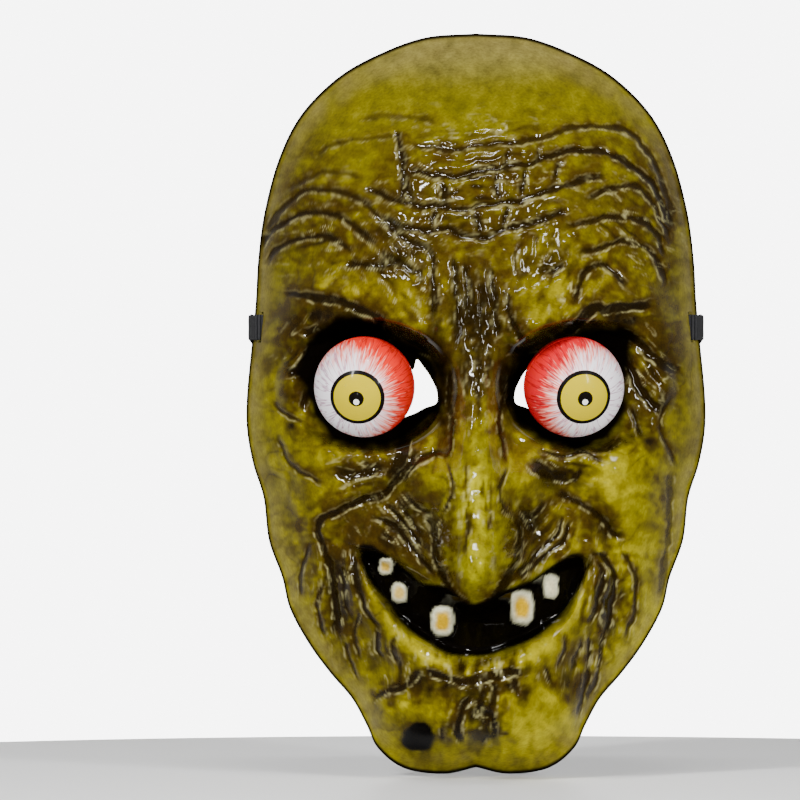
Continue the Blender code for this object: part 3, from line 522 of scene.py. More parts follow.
def swell(x, z, size, seed):
    """Smooth noise between about -1 and 1 with features about this size."""
    u, v = x / size + 17.3 * seed, z / size - 9.1 * seed
    i, j = np.floor(u), np.floor(v)
    su, sv = ease(u - i), ease(v - j)

    def corner(a, b):
        turn = 2 * math.pi * np.modf(np.abs(np.sin(a * 127.1 + b * 311.7 + seed * 74.7)) * 43758.5453)[0]
        return np.cos(turn) * (u - a) + np.sin(turn) * (v - b)

    low = corner(i, j) * (1 - su) + corner(i + 1, j) * su
    high = corner(i, j + 1) * (1 - su) + corner(i + 1, j + 1) * su
    return 1.5 * (low * (1 - sv) + high * sv)


def line_distance(points, x, z, reach):
    """For places within reach of a smooth line: which, how far off, how far from its ends, how far above."""
    line = spline(points, 5)
    low, high = line.min(0) - reach, line.max(0) + reach
    found = np.flatnonzero((x > low[0]) & (x < high[0]) & (z > low[1]) & (z < high[1]))
    nearest = np.full(found.size, 1e9)
    place, above = np.zeros(found.size), np.zeros(found.size)
    travelled = 0.0
    for a, b in zip(line, line[1:]):
        share, off_x, off_z = beside(x[found], z[found], a, b)
        off, length = np.hypot(off_x, off_z), math.dist(a, b)
        closer = off < nearest
        nearest[closer], above[closer] = off[closer], off_z[closer]
        place[closer] = travelled + share[closer] * length
        travelled += length
    return found, nearest, np.minimum(place, travelled - place), above


def inside_share(outline, x, z, soft):
    """One inside a closed smooth outline, falling to nothing outside over this distance."""
    line = spline(outline, 5, closed=True)
    inside = np.zeros(x.size, bool)
    nearest = np.full(x.size, 1e9)
    for a, b in zip(line, np.roll(line, -1, axis=0)):
        nearest = np.minimum(nearest, np.hypot(*beside(x, z, a, b)[1:]))
        crosses = (a[1] > z) != (b[1] > z)
        inside ^= crosses & (x < a[0] + (z - a[1]) * (b[0] - a[0]) / ((b[1] - a[1]) or 1e-9))
    return ease(0.5 + np.where(inside, nearest, -nearest) / soft)


def tooth_share(tooth, x, z):
    left, right, bottom, top, _ = tooth
    across = np.abs((x - (left + right) / 2) / ((right - left) / 2))
    up = np.abs((z - (bottom + top) / 2) / ((top - bottom) / 2))
    return (across**3 + up**3) ** (1 / 3)


def skin_relief(x, z, rho):
    """Height in mm that the fine form adds, and the shares of dark wash (partly painted shade), of olive wash and
    painted shade, and of painted highlight.
    """
    wander_x = x + 0.9 * swell(x, z, 7, 1) + 0.40 * swell(x, z, 2.8, 30)
    wander_z = z + 0.9 * swell(x, z, 7, 2) + 0.40 * swell(x, z, 2.8, 31)
    busy = ease((112 - z) / 16)
    height = 0.30 * swell(x, z, 9, 3) + busy * (0.22 * swell(x, z, 4, 4) + 0.05 * swell(x, z, 2.2, 5))
    creases = (1 - np.abs(swell(wander_x, wander_z, 8, 6))) ** 9
    creases *= ease(0.35 + swell(x, z, 22, 7)) * (0.25 + 0.75 * busy)
    height -= 0.40 * creases
    clean = 1 - 0.35 * creases
    shade, painted_highlight = np.zeros(x.size), np.zeros(x.size)
    # Broad shading: olive wash, and painted shade in the hollows and under the brows
    for sx, sz, rx, rz, strength in SHADES:
        shade = 1 - (1 - shade) * (1 - strength * hill(x, z, (sx, sz), (rx, rz)))
    for sx, sz, rx, rz, direction, deep in STREAKS:
        share = hill(x, z, (sx, sz), (rx, rz))
        c, d = math.cos(math.radians(direction)), math.sin(math.radians(direction))
        along, off = wander_x * c + wander_z * d, wander_z * c - wander_x * d
        line = swell(along / 5.5, off, 2.4, 40 + sx) + 0.30 * swell(along / 4, off, 1.5, 41 + sz)
        height += share * deep * (0.75 * line - 0.5 * (1 - np.abs(line)) ** 4)
        clean *= 1 - share * np.clip(0.95 * ease(-0.1 - 1.5 * line), 0, 1)
        # Painted highlight: a pale line along each streak's crest
        painted_highlight = np.maximum(painted_highlight, np.minimum(1, 1.3 * share) * np.exp(-(((line - 0.42) / 0.10) ** 2)))
    for width, deep, stain, points in STROKES:
        found, off, from_end, above = line_distance(points, wander_x, wander_z, 6 * width)
        fx, fz = x[found], z[found]
        taper = ease(0.15 + from_end / 5)
        reach = width * (0.62 + 0.22 * swell(fx, fz, 6, 33) + 0.16 * swell(fx, fz, 2.4, 34))
        near = np.exp(-((off / reach) ** 4))
        wide = np.exp(-((off / (2.2 * width)) ** 2))
        lips = np.exp(-(((off - 1.7 * width) / (0.8 * width)) ** 2))
        height[found] += taper * deep * (0.60 * lips - 0.80 * near - 0.35 * wide)
        clean[found] *= 1 - stain * taper * np.minimum(1, near + 0.32 * wide)
        # Painted highlight: a thin pale line along the crease's lower lip, where light from above falls, weaker
        # above the crease
        lit = np.exp(-(((off - reach - 0.45) / 0.32) ** 2)) * np.where(above < 0, 1.0, 0.3)
        painted_highlight[found] = np.maximum(painted_highlight[found], min(1, 1.1 * stain) * taper * lit)
        # Painted shade: a darker olive gradient above each crease, half as strong below it
        crease_shade = 0.85 * stain * taper * np.exp(-((off / (3.0 * width)) ** 2)) * np.where(above > 0, 1.0, 0.5)
        shade[found] = 1 - (1 - shade[found]) * (1 - crease_shade)
    for width, high, points in FOLDS:
        found, off, from_end, _ = line_distance(points, wander_x, wander_z, 4 * width)
        height[found] += ease(0.15 + from_end / 6) * high * np.exp(-((off / width) ** 2))
    # Dark wash blots, some of them painted shade under the brows and beside the nose
    for bx, bz, rx, rz, strength in BLOTS:
        share = hill(wander_x, wander_z, (bx, bz), (rx, rz))
        patchy = 1 + 0.5 * swell(x, z, 2.5, 8) + 0.4 * swell(x, z, 5, 32)
        clean *= 1 - np.clip(strength * share * patchy, 0, 1)
    return height * ease((1 - rho) / 0.05), 1 - np.clip(clean, 0, 1), shade, painted_highlight


def skin_paint(x, z, rho, height, wash_and_shade, shade, painted_highlight):
    """Linear colours, and the share of gloss, at places x, z in mm."""
    curl_x, curl_z = x + 2.5 * swell(x, z, 9, 62), z + 2.5 * swell(x, z, 9, 63)
    # Regional paint colours, lighter on the bulges partly as painted light
    weights = 0.12 * np.ones(x.size)
    colour = 0.12 * np.outer(np.ones(x.size), (0.24, 0.18, 0.002))
    for px, pz, rx, rz, paint in PAINTS:
        share = hill(x, z, (px, pz), (rx, rz))
        weights += share
        colour += share[:, None] * np.array(paint)
    colour /= weights[:, None]
    # Mottled paint, lighter on raised relief and darker on low relief: partly wash, partly painted light and
    # shade
    mottle = 1 + 0.20 * swell(x, z, 11, 9) + 0.30 * swell(curl_x, curl_z, 4, 10) + 0.10 * swell(x, z, 1.6, 11)
    colour *= PAINT_LEVEL * np.clip(mottle + np.clip(0.40 * height, -0.6, 0.5), 0.2, 1.8)[:, None]
    busy = 0.35 + 0.65 * ease((110 - z) / 20)
    dirt = 0.10 + 0.55 * swell(x, z, 13, 50) + 0.60 * swell(curl_x, curl_z, 5, 51) + 0.16 * swell(x, z, 1.7, 52)
    # Olive wash and painted shade from the shade shares, mixed with mottled dirt, less on raised relief
    shade_and_dirt = ease(shade * (1.0 + 0.9 * swell(curl_x, curl_z, 5, 53) + 0.5 * swell(x, z, 2, 54)))
    shade_and_dirt = 1 - (1 - shade_and_dirt) * (1 - np.clip(busy * dirt, 0, 0.6))
    shade_and_dirt = np.clip(shade_and_dirt - 0.25 * np.clip(height, 0, 1), 0, 1)[:, None]
    colour = colour * (1 - shade_and_dirt) + OLIVE * shade_and_dirt
    # Painted reflection: the sides, where the face turns away, are mixed towards a pale sheen
    side = ease((rho - 0.90) / 0.07) * (0.30 + 0.25 * swell(x, z, 6, 12))
    side = np.clip(side, 0, 0.55)[:, None]
    colour = colour * (1 - side) + SIDE_SHEEN * side
    # Low relief is darkened further: partly wash in the hollows, partly painted shade
    dark = np.clip(wash_and_shade + np.clip(-0.40 * height - 0.10, 0, 0.45) * (1 - wash_and_shade), 0, 1)
    loose_x, loose_z = x + 1.6 * swell(x, z, 6, 60), z + 1.6 * swell(x, z, 6, 61)
    sunk = np.zeros(x.size)
    for outline in SOCKET_SHADE.values():
        sunk = np.maximum(sunk, inside_share(outline, loose_x, loose_z, 4.5))
    gums = inside_share(MOUTH_SHADE, x, z, 1.6)
    wart = 1 - ease((np.hypot((loose_x - WART[0]) / 6.2, (loose_z - WART[1]) / 6.0) - 0.85) / 0.25)
    halo = hill(x, z, WART, (8.5, 8.0)) * (1 - wart)
    dark = np.maximum(dark, 0.75 * halo)[:, None]
    colour = colour * (1 - dark) ** 1.3 + UMBER * 1.2 * dark * (1 - dark) + WASH * dark
    # Painted highlights: thin pale lines along the crease lips and streak crests, broken up and kept off the
    # frown
    broken = ease(0.45 + 1.3 * swell(x, z, 3.4, 70) + 0.6 * swell(x, z, 1.4, 71))
    calm = 1 - 0.85 * hill(x, z, (0, 32), (11, 20))
    light = np.clip(0.46 * painted_highlight * broken * calm, 0, 1)[:, None]
    colour = colour * (1 - light) + HIGHLIGHT_PAINT * light
    black = np.maximum(np.maximum(gums, sunk), wart)[:, None]
    colour = colour * (1 - black) + PITCH * black
    for tooth in TEETH:
        out = tooth_share(tooth, x + 0.5 * swell(x, z, 2.6, 80), z + 0.5 * swell(x, z, 2.6, 81))
        share = (1 - ease((out - 0.92) / 0.14))[:, None]
        orange = (tooth[4] * (1 - ease((out - 0.40) / 0.48)))[:, None]
        enamel = (1 - orange) * np.array((0.76, 0.76, 0.54)) + orange * np.array((0.60, 0.36, 0.0))
        colour = colour * (1 - share) + enamel * share
    edge = ease((rho - 0.985) / 0.008)[:, None]
    # The gloss is less in the sockets, at the brow and nose root, on the chin's tip and at the rim
    gloss = 1 - ease(sunk * 1.5) * (1 - gums)
    gloss *= 1 - 0.8 * hill(x, z, (0, 36), (13, 19))
    gloss *= 1 - 0.85 * hill(x, z, (26, 57), (14, 13)) - 0.5 * hill(x, z, (-30, 50), (12, 10))
    gloss *= 1 - 0.5 * hill(x, z, (66, 10), (8, 14))
    gloss *= 1 - 0.85 * ease((-120 - z) / 12)
    gloss *= 1 - ease(2 * hill(np.abs(x), z, (12, 5), (3.5, 15)))
    gloss *= 1 - hill(x, z, (0, -75), (24, 9)) ** 0.5
    gloss *= 1 - ease((rho - 0.97) / 0.012)
    return np.clip(colour * (1 - edge) + PITCH * 3 * edge, 0, 1), gloss


# Building


def node_named(tree, kind, **values):
    made = tree.nodes.new(kind)
    for name, value in values.items():
        setattr(made, name, value)
    return made


def material(name, colour, roughness, **more):
    """A Principled material, its tree and its shader. More inputs are named with _ for a space."""
    made = bpy.data.materials.new(name)
    made.use_nodes = True
    shader = made.node_tree.nodes["Principled BSDF"]
    values = {"Base Color": (*colour, 1), "Roughness": roughness, "Coat Roughness": 0.05, **more}
    for key, value in values.items():
        shader.inputs[key.replace("_", " ")].default_value = value
    return made, made.node_tree, shader


def object_place(tree):
    return tree.nodes.new("ShaderNodeTexCoord").outputs["Object"]


def colour_by(shader, source):
    shader.id_data.links.new(source, shader.inputs["Base Color"])


def add_bump(tree, shader, source, strength, distance):
    bump = tree.nodes.new("ShaderNodeBump")
    bump.inputs["Strength"].default_value = strength
    bump.inputs["Distance"].default_value = distance
    tree.links.new(source, bump.inputs["Height"])
    tree.links.new(bump.outputs["Normal"], shader.inputs["Normal"])


def noise(tree, scale, detail=3.0, vector=None):
    made = tree.nodes.new("ShaderNodeTexNoise")
    made.inputs["Scale"].default_value = scale
    made.inputs["Detail"].default_value = detail
    tree.links.new(vector or object_place(tree), made.inputs["Vector"])
    return made.outputs["Fac"]


def ramp(source, stops, interpolation="LINEAR"):
    """The colours of the stops (position, colour), by the source's value."""
    tree = source.id_data
    made = tree.nodes.new("ShaderNodeValToRGB")
    made.color_ramp.interpolation = interpolation
    elements = made.color_ramp.elements
    while len(elements) < len(stops):
        elements.new(1.0)
    for element, (position, colour) in zip(elements, stops):
        element.position = position
        element.color = (*colour, 1)
    tree.links.new(source, made.inputs["Fac"])
    return made.outputs["Color"]


def feed(tree, sockets, values):
    """Links or sets each socket, by whether its value is a socket itself."""
    for socket, value in zip(sockets, values):
        if isinstance(value, bpy.types.NodeSocket):
            tree.links.new(value, socket)
        else:
            socket.default_value = (*value, 1) if isinstance(value, tuple) else value


def mix(tree, blend_type, share, a, b):
    """A colour mix of sockets or values."""
    made = node_named(tree, "ShaderNodeMix", data_type="RGBA", blend_type=blend_type)
    feed(tree, (made.inputs[0], made.inputs[6], made.inputs[7]), (share, a, b))
    return made.outputs[2]


def maths(operation, a, b=0.0):
    made = node_named(a.id_data, "ShaderNodeMath", operation=operation)
    feed(a.id_data, made.inputs, (a, b))
    return made.outputs[0]


def add(a, b):
    return maths("ADD", a, b)


def times(a, b):
    return maths("MULTIPLY", a, b)


def mesh_object(name, points, faces, finish, smooth=True):
    mesh = bpy.data.meshes.new(name)
    mesh.from_pydata([tuple(p) for p in points], [], faces)
    mesh.polygons.foreach_set("use_smooth", [smooth] * len(mesh.polygons))
    mesh.materials.append(finish)
    mesh.update()
    obj = bpy.data.objects.new(name, mesh)
    bpy.context.scene.collection.objects.link(obj)
    return obj


def turned(name, profile, finish, frame, steps):
    """A closed body: a profile (radius, height), from axis to axis, turned about its own Z axis."""
    points, faces, rings = [], [], []
    for radius, height in profile:
        if radius < 1e-7:
            rings.append([len(points)])
            points.append((0, 0, height))
            continue
        rings.append(list(range(len(points), len(points) + steps)))
        for i in range(steps):
            angle = 2 * math.pi * i / steps
            points.append((radius * math.cos(angle), radius * math.sin(angle), height))
    for ring, following in zip(rings, rings[1:]):
        for i in range(steps):
            j = (i + 1) % steps
            corners = [ring[i % len(ring)], ring[j % len(ring)], following[j % len(following)]]
            corners.append(following[i % len(following)])
            kept = [c for k, c in enumerate(corners) if c not in corners[:k]]
            if len(kept) > 2:
                faces.append(kept[::-1])
    obj = mesh_object(name, points, faces, finish)
    turn_out(obj)
    obj.matrix_world = frame
    return obj


def loft(name, rings, finish, smooth=True):
    """A closed body through rings that have as many points each, with flat ends."""
    count, last = len(rings[0]), (len(rings) - 1) * len(rings[0])
    faces = [tuple(range(count)), tuple(range(last, last + count))]
    for start in range(0, last, count):
        for i in range(count):
            j = (i + 1) % count
            faces.append((start + i, start + j, start + count + j, start + count + i))
    obj = mesh_object(name, [point for ring in rings for point in ring], faces, finish, smooth)
    turn_out(obj)
    return obj


def turn_out(obj):
    """Turns a closed mesh's faces to point outward."""
    shape = bmesh.new()
    shape.from_mesh(obj.data)
    bmesh.ops.recalc_face_normals(shape, faces=shape.faces)
    if shape.calc_volume(signed=True) < 0:
        bmesh.ops.reverse_faces(shape, faces=shape.faces)
    shape.to_mesh(obj.data)
    shape.free()


def sharpen(obj, angle=40):
    """Marks edges sharper than this many degrees, so that the rest shade smooth."""
    shape = bmesh.new()
    shape.from_mesh(obj.data)
    for edge in shape.edges:
        edge.smooth = len(edge.link_faces) != 2 or edge.calc_face_angle() < math.radians(angle)
    shape.to_mesh(obj.data)
    shape.free()


def arc(radius, start, end, count):
    angles = [start + (end - start) * i / count for i in range(count + 1)]
    return [(radius * math.sin(a), radius * math.cos(a)) for a in angles]


def facing(centre, direction):
    return Matrix.Translation(centre) @ Vector(direction).to_track_quat("Z", "Y").to_matrix().to_4x4()


def gaze_direction(side):
    across, up = (math.radians(angle) for angle in GAZE[side])
    return Vector((math.sin(across) * math.cos(up), -math.cos(across) * math.cos(up), math.sin(up)))


def temple_frame(sign):
    """A frame at the middle of a temple's slot: X out of the wall, Y back along it, Z up."""
    angles = np.linspace(0.8, 2.2, 1401)
    rim_angle = angles[np.argmin(np.abs(outline_radius(angles) * np.cos(angles) - STRAP_Z))]
    rim_x = outline_radius(rim_angle) * math.sin(rim_angle)
    shares = np.linspace(0.85, 1, 3001)
    depths = face_depth(shares * rim_x, np.full(shares.shape, STRAP_Z), shares)
    slot_x = shares[np.argmin(np.abs(depths - SLOT_DEPTH_Y))] * rim_x
    edge_x = shares[np.argmin(np.abs(depths))] * rim_x
    back = Vector((edge_x - slot_x, SLOT_DEPTH_Y, 0)).normalized()
    out = Vector((back.y, -back.x, 0))
    right = Matrix((out, back, (0, 0, 1))).transposed().to_4x4()
    right.translation = (slot_x, -SLOT_DEPTH_Y, STRAP_Z)
    if sign > 0:
        return right
    mirror = Matrix.Diagonal((-1, 1, 1, 1))
    return mirror @ right @ mirror


def make_camera():
    camera = bpy.data.objects.new("camera", bpy.data.cameras.new("camera"))
    bpy.context.scene.collection.objects.link(camera)
    camera.location = (0, -CAMERA_DISTANCE, CAMERA_HEIGHT)
    camera.rotation_euler = (math.pi / 2, 0, 0)
    camera.data.lens = CAMERA_LENS
    camera.data.shift_x = CAMERA_SHIFT
    camera.data.clip_end = 50
    bpy.context.scene.camera = camera


def make_strap():
    frame = temple_frame(1)
    half = [tuple(frame @ Vector((out, back, 0))) for out, back in STRAP_LOOP] + STRAP_HANG
    knots = [(-x, y, z) for x, y, z in half[:-1]] + half[::-1]
    route = spline(knots, 6)
    steps = np.linalg.norm(np.diff(route, axis=0), axis=1)
    along = np.concatenate([[0], np.cumsum(steps)])
    tangents = np.gradient(route, along, axis=0)
    tangents /= np.linalg.norm(tangents, axis=1)[:, None]
    from_end = np.minimum(along, along[-1] - along)
    turn = ease((from_end - 0.045) / 0.040)[:, None]
    widths = (1 - turn) * (0, 0, 1) + turn * (0, 1, 0)
    widths = widths - tangents * (widths * tangents).sum(axis=1)[:, None]
    widths /= np.linalg.norm(widths, axis=1)[:, None]
    normals = np.cross(tangents, widths)
    section = []
    for side in (1, -1):
        section += [(share * side, side) for share in np.linspace(0.88, -0.88, 9)]
        section += [(-side, 0.45 * side), (-side, -0.45 * side)]
    rings = []
    for centre, wide, thick in zip(route, widths * STRAP_WIDTH / 2, normals * STRAP_SHEET / 2):
        ribs = [1 - 0.07 * (math.cos(a * math.pi * 7) + 1) if abs(b) == 1 else 1 for a, b in section]
        rings.append([centre + a * wide + b * rib * thick for (a, b), rib in zip(section, ribs)])
    finish, tree, shader = material(
        "black_elastic", (0.014, 0.014, 0.015), 0.8, Sheen_Weight=0.03, Specular_IOR_Level=0.15
    )
    lengthwise = node_named(tree, "ShaderNodeAttribute", attribute_name="along")
    stitches = maths("SINE", times(lengthwise.outputs["Fac"], 2 * math.pi / STITCH))
    weave = add(times(stitches, 0.5), noise(tree, 1800))
    add_bump(tree, shader, weave, 0.5, 0.0003)
    colour_by(shader, ramp(weave, [(0.2, (0.006, 0.006, 0.007)), (0.9, (0.030, 0.030, 0.032))]))
    strap = loft("strap_band", rings, finish)
    attribute = strap.data.attributes.new("along", "FLOAT", "POINT")
    attribute.data.foreach_set("value", np.repeat(along, len(section)).astype(np.float32))
    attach(strap, "root")
    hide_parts("head_strap")
    exit_point = temple_frame(-1).translation


# Skin


def skin_material():
    finish, tree, shader = material(
        "painted_pvc", (0.3, 0.22, 0.01), 0.45, Coat_Roughness=0.07, Specular_IOR_Level=0.0, Coat_IOR=1.40
    )
    gloss = node_named(tree, "ShaderNodeAttribute", attribute_name="gloss").outputs["Fac"]
    tree.links.new(gloss, shader.inputs["Coat Weight"])
    paint = node_named(tree, "ShaderNodeAttribute", attribute_name="paint").outputs["Color"]
    speck = ramp(noise(tree, 900, 4), [(0.30, (0.80, 0.79, 0.76)), (0.62, (1.08, 1.08, 1.06))])
    streak = ramp(noise(tree, 260, 5), [(0.25, (0.80, 0.78, 0.74)), (0.7, (1.06, 1.06, 1.06))])
    colour_by(shader, mix(tree, "MULTIPLY", 1.0, mix(tree, "MULTIPLY", 1.0, paint, speck), streak))
    grain = add(times(noise(tree, 420, 3), 0.7), times(noise(tree, 1300, 2), 0.3))
    add_bump(tree, shader, grain, 0.35, 0.0005)
    return finish


def skin_grid(columns, rows):
    u, v = np.meshgrid(np.linspace(-1, 1, columns), np.linspace(-1, 1, rows))
    return disc_point(u.ravel(), v.ravel())


def boundary(columns, rows):
    """Indices round a grid's edge, anticlockwise from the first corner."""
    bottom = list(range(columns - 1))
    right = [j * columns + columns - 1 for j in range(rows - 1)]
    top = [(rows - 1) * columns + i for i in range(columns - 1, 0, -1)]
    left = [j * columns for j in range(rows - 1, 0, -1)]
    return bottom + right + top + left


def grid_faces(columns, rows, first=0):
    corners = [first + j * columns + i for j in range(rows - 1) for i in range(columns - 1)]
    return [(corner, corner + 1, corner + columns + 1, corner + columns) for corner in corners]


def slope(x, z, step_x, step_z):
    """How fast the face rises along a short step."""
    ahead, behind = (x + step_x, z + step_z), (x - step_x, z - step_z)
    rise = face_depth(*ahead, rho_at(*ahead)) - face_depth(*behind, rho_at(*behind))
    return rise / (2 * (step_x + step_z))


def make_skin():
    """The painted sheet: a fine outer grid and a coarser bare one behind it, joined at the rim."""
    inner_columns, inner_rows = INNER_GRID
    columns, rows = (inner_columns - 1) * OUTER_SHARE + 1, (inner_rows - 1) * OUTER_SHARE + 1
    x, z, rho = skin_grid(columns, rows)
    macro = face_depth(x, z, rho)
    seen = 1000 * CAMERA_DISTANCE / (CAMERA_DISTANCE - macro)
    px, pz = x * seen, z * seen
    height, wash_and_shade, shade, painted_highlight = skin_relief(px, pz, rho)
    paint, gloss = skin_paint(px, pz, rho, height, wash_and_shade, shade, painted_highlight)
    relief = height.copy()
    for tooth in TEETH:
        out = tooth_share(tooth, px, pz)
        share = 1 - ease((out - 0.80) / 0.35)
        relief = relief * (1 - share) + (3.6 + 0.8 * (1 - np.clip(out, 0, 1) ** 2)) * share
    wart = np.clip(1 - ((px - WART[0]) / 6) ** 2 - ((pz - WART[1]) / 5.8) ** 2, 0, 1)
    outer = np.column_stack([x, np.minimum(-(macro + (relief + 2.4 * wart**0.6) * MM), 0), z])

    steps = np.arange(0, rows, OUTER_SHARE)[:, None] * columns + np.arange(0, columns, OUTER_SHARE)
    ix, iz, irho, idepth, iheight = (values[steps.ravel()] for values in (x, z, rho, macro, height))
    inward = np.column_stack([slope(ix, iz, 0.1 * MM, 0), np.ones(ix.size), slope(ix, iz, 0, 0.1 * MM)])
    inward /= np.linalg.norm(inward, axis=1)[:, None]
    thickness = SHEET + 0.4 * MM * ease((1 - irho) / 0.03)
    pressed = idepth + np.clip(iheight, -1.0, 0.3) * MM
    inner = np.column_stack([ix, -pressed, iz]) + inward * thickness[:, None]
    inner[:, 1] = np.minimum(inner[:, 1], 0)
    in_ring, out_ring = boundary(inner_columns, inner_rows), boundary(columns, rows)
    inner[in_ring, 1] = 0
    outer[out_ring, 1] = 0

    offset = len(outer)
    faces = grid_faces(columns, rows)
    faces += [(a, d, c, b) for a, b, c, d in grid_faces(inner_columns, inner_rows, offset)]
    for k, place in enumerate(in_ring):
        a, b = offset + place, offset + in_ring[(k + 1) % len(in_ring)]
        o = [out_ring[(OUTER_SHARE * k + m) % len(out_ring)] for m in range(OUTER_SHARE + 1)]
        faces += [(o[1], o[0], a), (o[1], a, b), (o[2], o[1], b)]
    skin = mesh_object("mask_skin", np.vstack([outer, inner]), faces, skin_material())
    behind = 0.55 + 0.25 * swell(ix * 1000, iz * 1000, 9, 20) + 0.15 * swell(ix * 1000, iz * 1000, 3, 21)
    colours = np.vstack([paint, behind[:, None] * BARE])
    add_paint(skin, colours, np.concatenate([SKIN_COAT * gloss, np.full(len(inner), BARE_COAT)]))
    cut_holes(skin)
    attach(skin, "root")
    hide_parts("mask_shell")
    return skin


def add_paint(obj, colours, gloss):
    attribute = obj.data.attributes.new("paint", "FLOAT_COLOR", "POINT")
    opaque = np.pad(colours, ((0, 0), (0, 1)), constant_values=1)
    attribute.data.foreach_set("color", opaque.astype(np.float32).ravel())
    attribute = obj.data.attributes.new("gloss", "FLOAT", "POINT")
    attribute.data.foreach_set("value", np.asarray(gloss, np.float32))


def prism(name, outline, low, high):
    """A closed prism along Y through the outline (x, z), painted as the bare sheet."""
    rings = [[(x, y, z) for x, z in outline] for y in (low, high)]
    obj = loft(name, rings, bpy.data.materials["painted_pvc"], smooth=False)
    count = 2 * len(outline)
    add_paint(obj, np.tile(BARE, (count, 1)), np.full(count, BARE_COAT))
    return obj


def cut_holes(skin):
    cutters = []
    for side, sign in SIDES.items():
        outline = spline(EYE_HOLE, 8, closed=True) * (sign, 1)
        cutters.append(prism(f"{side}_eye_hole_tool", outline, *EYE_CUT_Y))
        square = [(-0.5, -0.5), (0.5, -0.5), (0.5, 0.5), (-0.5, 0.5)]
        slot = prism(f"{side}_slot_tool", square, -0.5, 0.5)
        slot.matrix_world = temple_frame(sign) @ Matrix.Diagonal((SLOT_CUT, SLOT_WIDTH, SLOT_HEIGHT, 1))
        cutters.append(slot)
    for cutter in cutters:
        boolean = skin.modifiers.new(cutter.name, "BOOLEAN")
        boolean.operation = "DIFFERENCE"
        boolean.solver = "MANIFOLD"
        boolean.object = cutter
    bpy.context.view_layer.update()
    graph = bpy.context.evaluated_depsgraph_get()
    mesh = bpy.data.meshes.new_from_object(skin.evaluated_get(graph))
    # The cut walls are the flat faces
    for index in {index for face in mesh.polygons if not face.use_smooth for index in face.vertices}:
        mesh.attributes["paint"].data[index].color = (*BARE, 1)
        mesh.attributes["gloss"].data[index].value = 0
    skin.modifiers.clear()
    skin.data = mesh
    for cutter in cutters:
        bpy.data.objects.remove(cutter, do_unlink=True)


# Eyes


def eyeball_material(side):
    """Each ball is painted redder above and towards the nose."""
    finish, tree, shader = material(
        f"{side}_eyeball_plastic", (0.83, 0.79, 0.80), 0.35,
        Coat_Weight=0.15, Coat_Roughness=0.08, Specular_IOR_Level=0.05, Coat_IOR=1.40,
    )  # fmt: skip
    place = object_place(tree)
    split = tree.nodes.new("ShaderNodeSeparateXYZ")
    tree.links.new(place, split.inputs[0])
    across, up, ahead = split.outputs
    rim = maths("SQRT", add(times(across, across), times(up, up)))
    angle, turn = maths("ARCTAN2", rim, ahead), maths("ARCTAN2", up, across)
    # Streaks run out from the iris: the noise is stretched along the angle from the gaze
    spokes = tree.nodes.new("ShaderNodeCombineXYZ")
    parts = (times(maths("COSINE", turn), 9.0), times(maths("SINE", turn), 9.0), times(angle, 1.1))
    feed(tree, spokes.inputs, parts)
    streaks = noise(tree, 2.6, 6, spokes.outputs[0])
    reach = add(times(angle, 1 / math.pi), times(maths("SUBTRACT", streaks, 0.5), 0.62))
    high = add(add(reach, times(up, 4.0)), times(across, -12.0 * SIDES[side]))
    white, pink, pale = (0.80, 0.76, 0.79), (0.82, 0.52, 0.52), (0.84, 0.26, 0.20)
    red, deep = {"left": (0.70, 0.016, 0.006), "right": (0.58, 0.008, 0.018)}[side], (0.60, 0.008, 0.006)
    skin = ramp(high, [(0.20, white), (0.30, pink), (0.38, pale), (0.48, red), (0.8, deep)])
    clear, purple = (1, 1, 1), (0.42, 0.16, 0.28)
    veins = ramp(noise(tree, 0.8, 2, spokes.outputs[0]), [(0.470, clear), (0.5, purple), (0.530, clear)])
    skin = mix(tree, "MULTIPLY", 0.8, skin, veins)
    pupil, yellow, ring = (0.004, 0.003, 0.002), (0.46, 0.36, 0.0), (0.004, 0.003, 0.003)
    iris = ramp(times(rim, 50), [(0.0, pupil), (0.140, yellow), (0.438, ring), (0.512, clear)], "CONSTANT")
    front = times(maths("LESS_THAN", rim, 0.0102), maths("GREATER_THAN", ahead, 0))
    dot = node_named(tree, "ShaderNodeVectorMath", operation="DISTANCE")
    tree.links.new(place, dot.inputs[0])
    dot.inputs[1].default_value = (0, -0.0012, 0.0186)
    gleam = maths("LESS_THAN", dot.outputs["Value"], 0.0011)
    colour_by(shader, mix(tree, "MIX", front, skin, mix(tree, "MIX", gleam, iris, (0.80, 0.80, 0.76))))
    return finish


def make_eyeball(side, finish):
    seam = math.pi / 2 - GAP / 2 / BALL_RADIUS
    inner = BALL_RADIUS - BALL_WALL
    lip = 0.25 * MM / BALL_RADIUS
    profile = arc(BALL_RADIUS, 0, seam - lip, 40) + [(BALL_RADIUS - 0.12 * MM, GAP / 2)]
    profile += arc(inner, seam, 0, 16)
    profile[0], profile[-1] = (0, BALL_RADIUS), (0, inner)
    frame = facing((EYE_X[side], EYE_Y, EYE_Z), gaze_direction(side))
    for end, way in (("front", 1), ("rear", -1)):
        half = turned(f"{side}_eye_{end}_half", [(r, way * h) for r, h in profile], finish, frame, 96)
        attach(half, f"{side}_ball")
        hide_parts(f"{side}_eyeball_{end}")


def mottled(name, colour, roughness, scale, detail, dark, light, metallic=1.0, vector=None):
    """A material whose colour varies between dark and light, with its tree, its shader and the noise."""
    finish, tree, shader = material(name, colour, roughness, Metallic=metallic)
    source = noise(tree, scale, detail, vector(tree) if vector else None)
    colour_by(shader, ramp(source, [(0.3, dark), (0.7, light)]))
    return finish, tree, shader, source


def brushed_place(tree):
    stretch = tree.nodes.new("ShaderNodeMapping")
    stretch.inputs["Scale"].default_value = (1.0, 1.0, 14.0)
    tree.links.new(object_place(tree), stretch.inputs["Vector"])
    return stretch.outputs[0]


